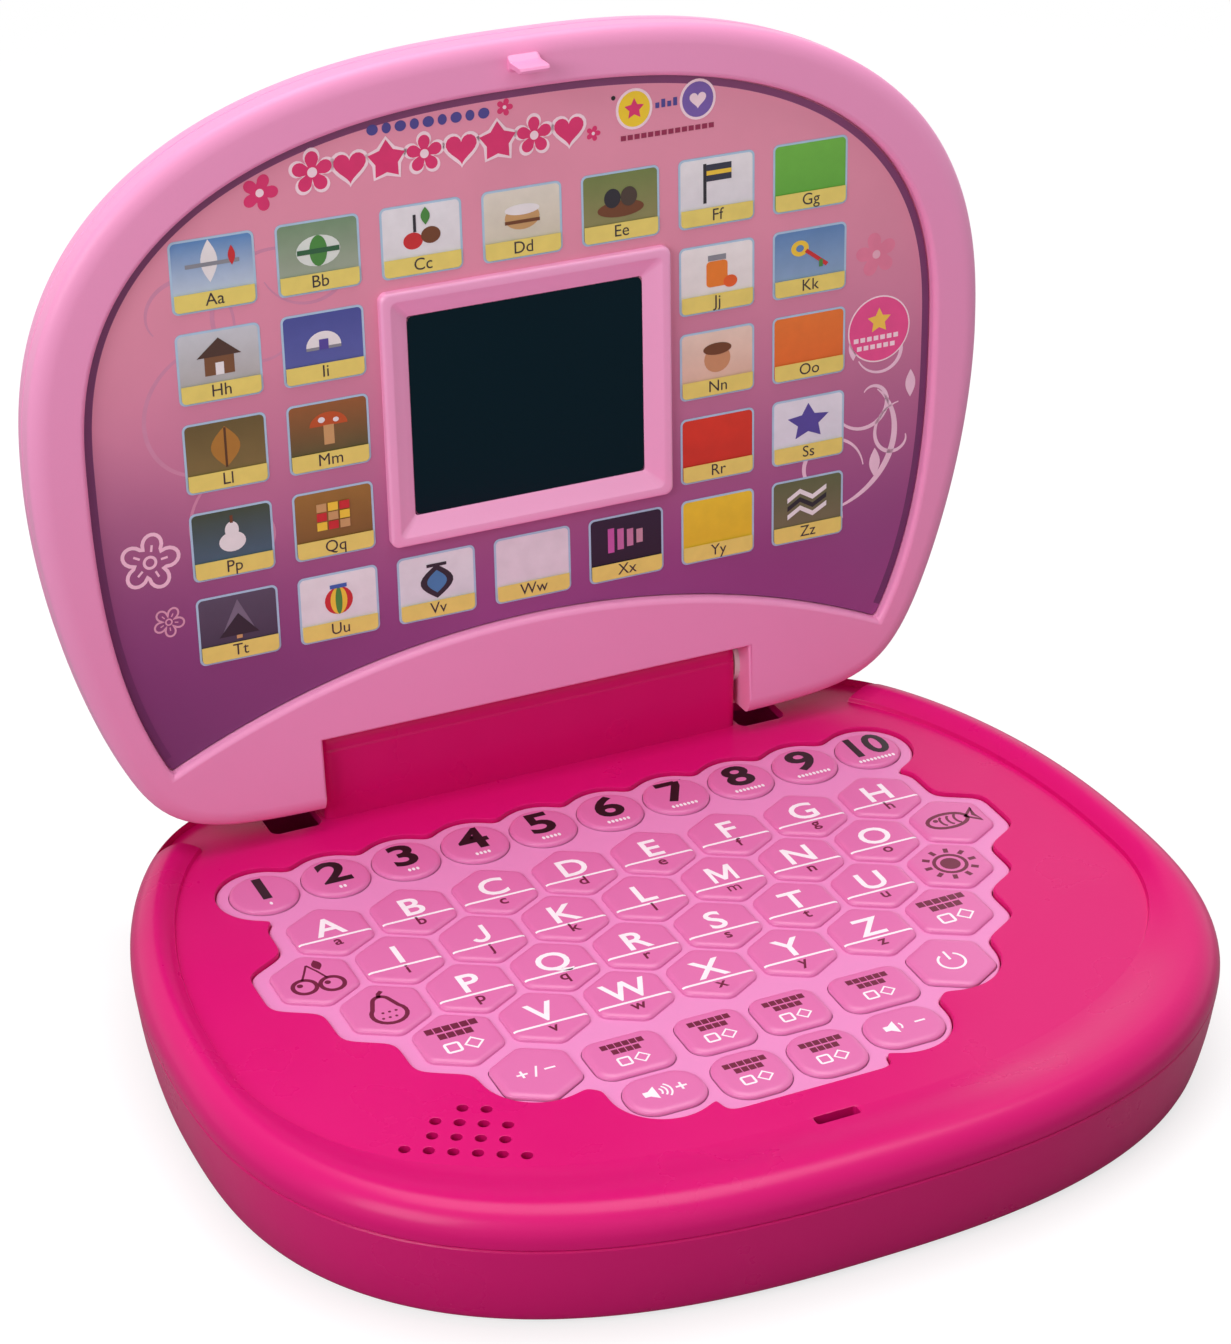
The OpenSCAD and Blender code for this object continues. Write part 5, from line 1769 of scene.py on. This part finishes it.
def draw_card(sheet, letter, x, y):
    """Border, ground, picture and caption band of one card."""
    top_ink, low_ink, *shapes = card_pictures[letter]
    foot = y - card_h / 2
    patch(sheet, plate_ring(card_w, card_h, 1.4, 6, (x, y)), border_ink, 3, on_panel)
    inner = plate_ring(card_w - 1.0, card_h - 1.0, 1.0, 6, (x, y))
    ground = {"y": (y - 4, y + 7), "low": low_ink, "high": top_ink}
    patch(sheet, inner, ground, 4, on_panel)
    for layer, (ring, ink) in enumerate(shapes, 5):
        patch(sheet, np.asarray(ring) * picture_half + (x, y + 1.7), ink, layer, on_panel)
    inner[:, 1] = np.minimum(inner[:, 1], foot + caption_h)
    patch(sheet, inner, caption_ink, 14, on_panel)
    lettering(sheet, letter + letter.lower(), x, foot + 1.3, 2.6, letter_ink, 15, on_panel)


letters = "ABCDEFGHIJKLMNOPQRSTUVWXYZ"
for letter, (row, column) in zip(letters, card_spots):
    draw_card(art, letter, card_middle_x + (column - 3) * card_step, card_rows[row])
print_sheet("panel_print", art, "lid", lid_place)

# %% [markdown]
# ## Display frame and window
#
# A glossy pink frame stands round the display and slopes in to a dark window.

# %% The frame, lofted inwards
lcd_w, lcd_h, frame_w = 54.4, 45.2, 6.6
frame_z = 10.4


def frame_ring(sink, height):
    """One ring of the frame, moved in from its outer edge."""
    wide, tall = lcd_w + 2 * (frame_w - sink), lcd_h + 2 * (frame_w - sink)
    round_r = 1.9 - 1.3 * sink / frame_w
    return at_height(plate_ring(wide, tall, round_r, 8, (0, lcd_y)), height)


frame_steps = [(0.0, panel_z - 0.02), (0.0, frame_z - 0.7), (0.1, frame_z - 0.35),
               (0.35, frame_z - 0.1), (0.7, frame_z), (2.0, frame_z),
               (2.3, frame_z - 0.1), (2.8, frame_z - 0.4), (4.4, frame_z - 1.1),
               (6.2, frame_z - 1.8), (6.5, frame_z - 2.1), (6.6, frame_z - 2.4)]
frame_rings = [frame_ring(*step) for step in frame_steps]
ring_size = len(frame_rings[0])
frame_faces = ring_faces(ring_size, len(frame_rings), closed=False)
last = (len(frame_rings) - 1) * ring_size
frame_faces += [(last + i, last + (i + 1) % ring_size, (i + 1) % ring_size, i)
                for i in range(ring_size)]
lcd_frame = new_piece("display_frame", np.concatenate(frame_rings), frame_faces)
shade(lcd_frame, 40)
place(lcd_frame, lid_place)
frame_plastic = moulded_plastic("frame_plastic", linear(254, 176, 218), linear(250, 168, 212),
                                rough=(0.16, 0.24), coat=0.4)
hand_over(lcd_frame, "lid", frame_plastic, ["lcd_bezel"])


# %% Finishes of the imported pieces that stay
def plain_finish(name, light, deep, rough, metal=0.0):
    """A small part's finish: close clouds, a fine bump and no coat."""
    return moulded_plastic(name, light, deep, rough, ripple=0.05, clouds=120, coat=0.0,
                           metal=metal)


window_glass = moulded_plastic("window_glass", linear(2, 32, 42), linear(1, 26, 35),
                               rough=(0.1, 0.16), ripple=0.002, clouds=9, coat=0.0,
                               specular=0.12)
finishes = {
    window_glass: ["lcd_window"],
    plain_finish("rubber", linear(40, 38, 40), linear(28, 27, 29), (0.7, 0.85)): ["rubber_feet"],
    plain_finish("zinc_steel", linear(190, 192, 196), linear(160, 162, 168), (0.25, 0.4), 1.0):
        ["case_screws", "lid_screws", "board_screws", "lcd_screws",
         "hinge_pin_left", "hinge_pin_right", "battery_springs", "battery_plates"],
    plain_finish("circuit_green", linear(26, 92, 50), linear(18, 74, 40),
                 (0.35, 0.5)): ["main_board", "lcd_board"],
    plain_finish("clear_film", linear(214, 208, 214), linear(200, 196, 204),
                 (0.3, 0.4)): ["contact_film"],
    plain_finish("paper_black", linear(34, 33, 36), linear(24, 24, 26), (0.6, 0.8)): ["speaker"],
    plain_finish("cell_wrap", linear(52, 84, 150), linear(44, 70, 130), (0.25, 0.35)):
        ["battery_1", "battery_2", "battery_3"],
    plain_finish("lcd_grey", linear(120, 128, 120), linear(108, 116, 108),
                 (0.2, 0.3)): ["lcd_module"],
    plain_finish("nylon", linear(226, 222, 214), linear(212, 208, 200),
                 (0.45, 0.6)): ["friction_rings"],
    plain_finish("cable_grey", linear(150, 150, 154), linear(130, 130, 134),
                 (0.4, 0.55)): ["display_cable"],
    moulded_plastic("door_plastic", linear(214, 30, 116), linear(206, 24, 108)): ["battery_door"],
}
for material, nodes in finishes.items():
    for node in nodes:
        mesh = bpy.data.objects[node].data
        mesh.materials.clear()
        mesh.materials.append(material)
print("finished", sum(len(nodes) for nodes in finishes.values()), "packed pieces")
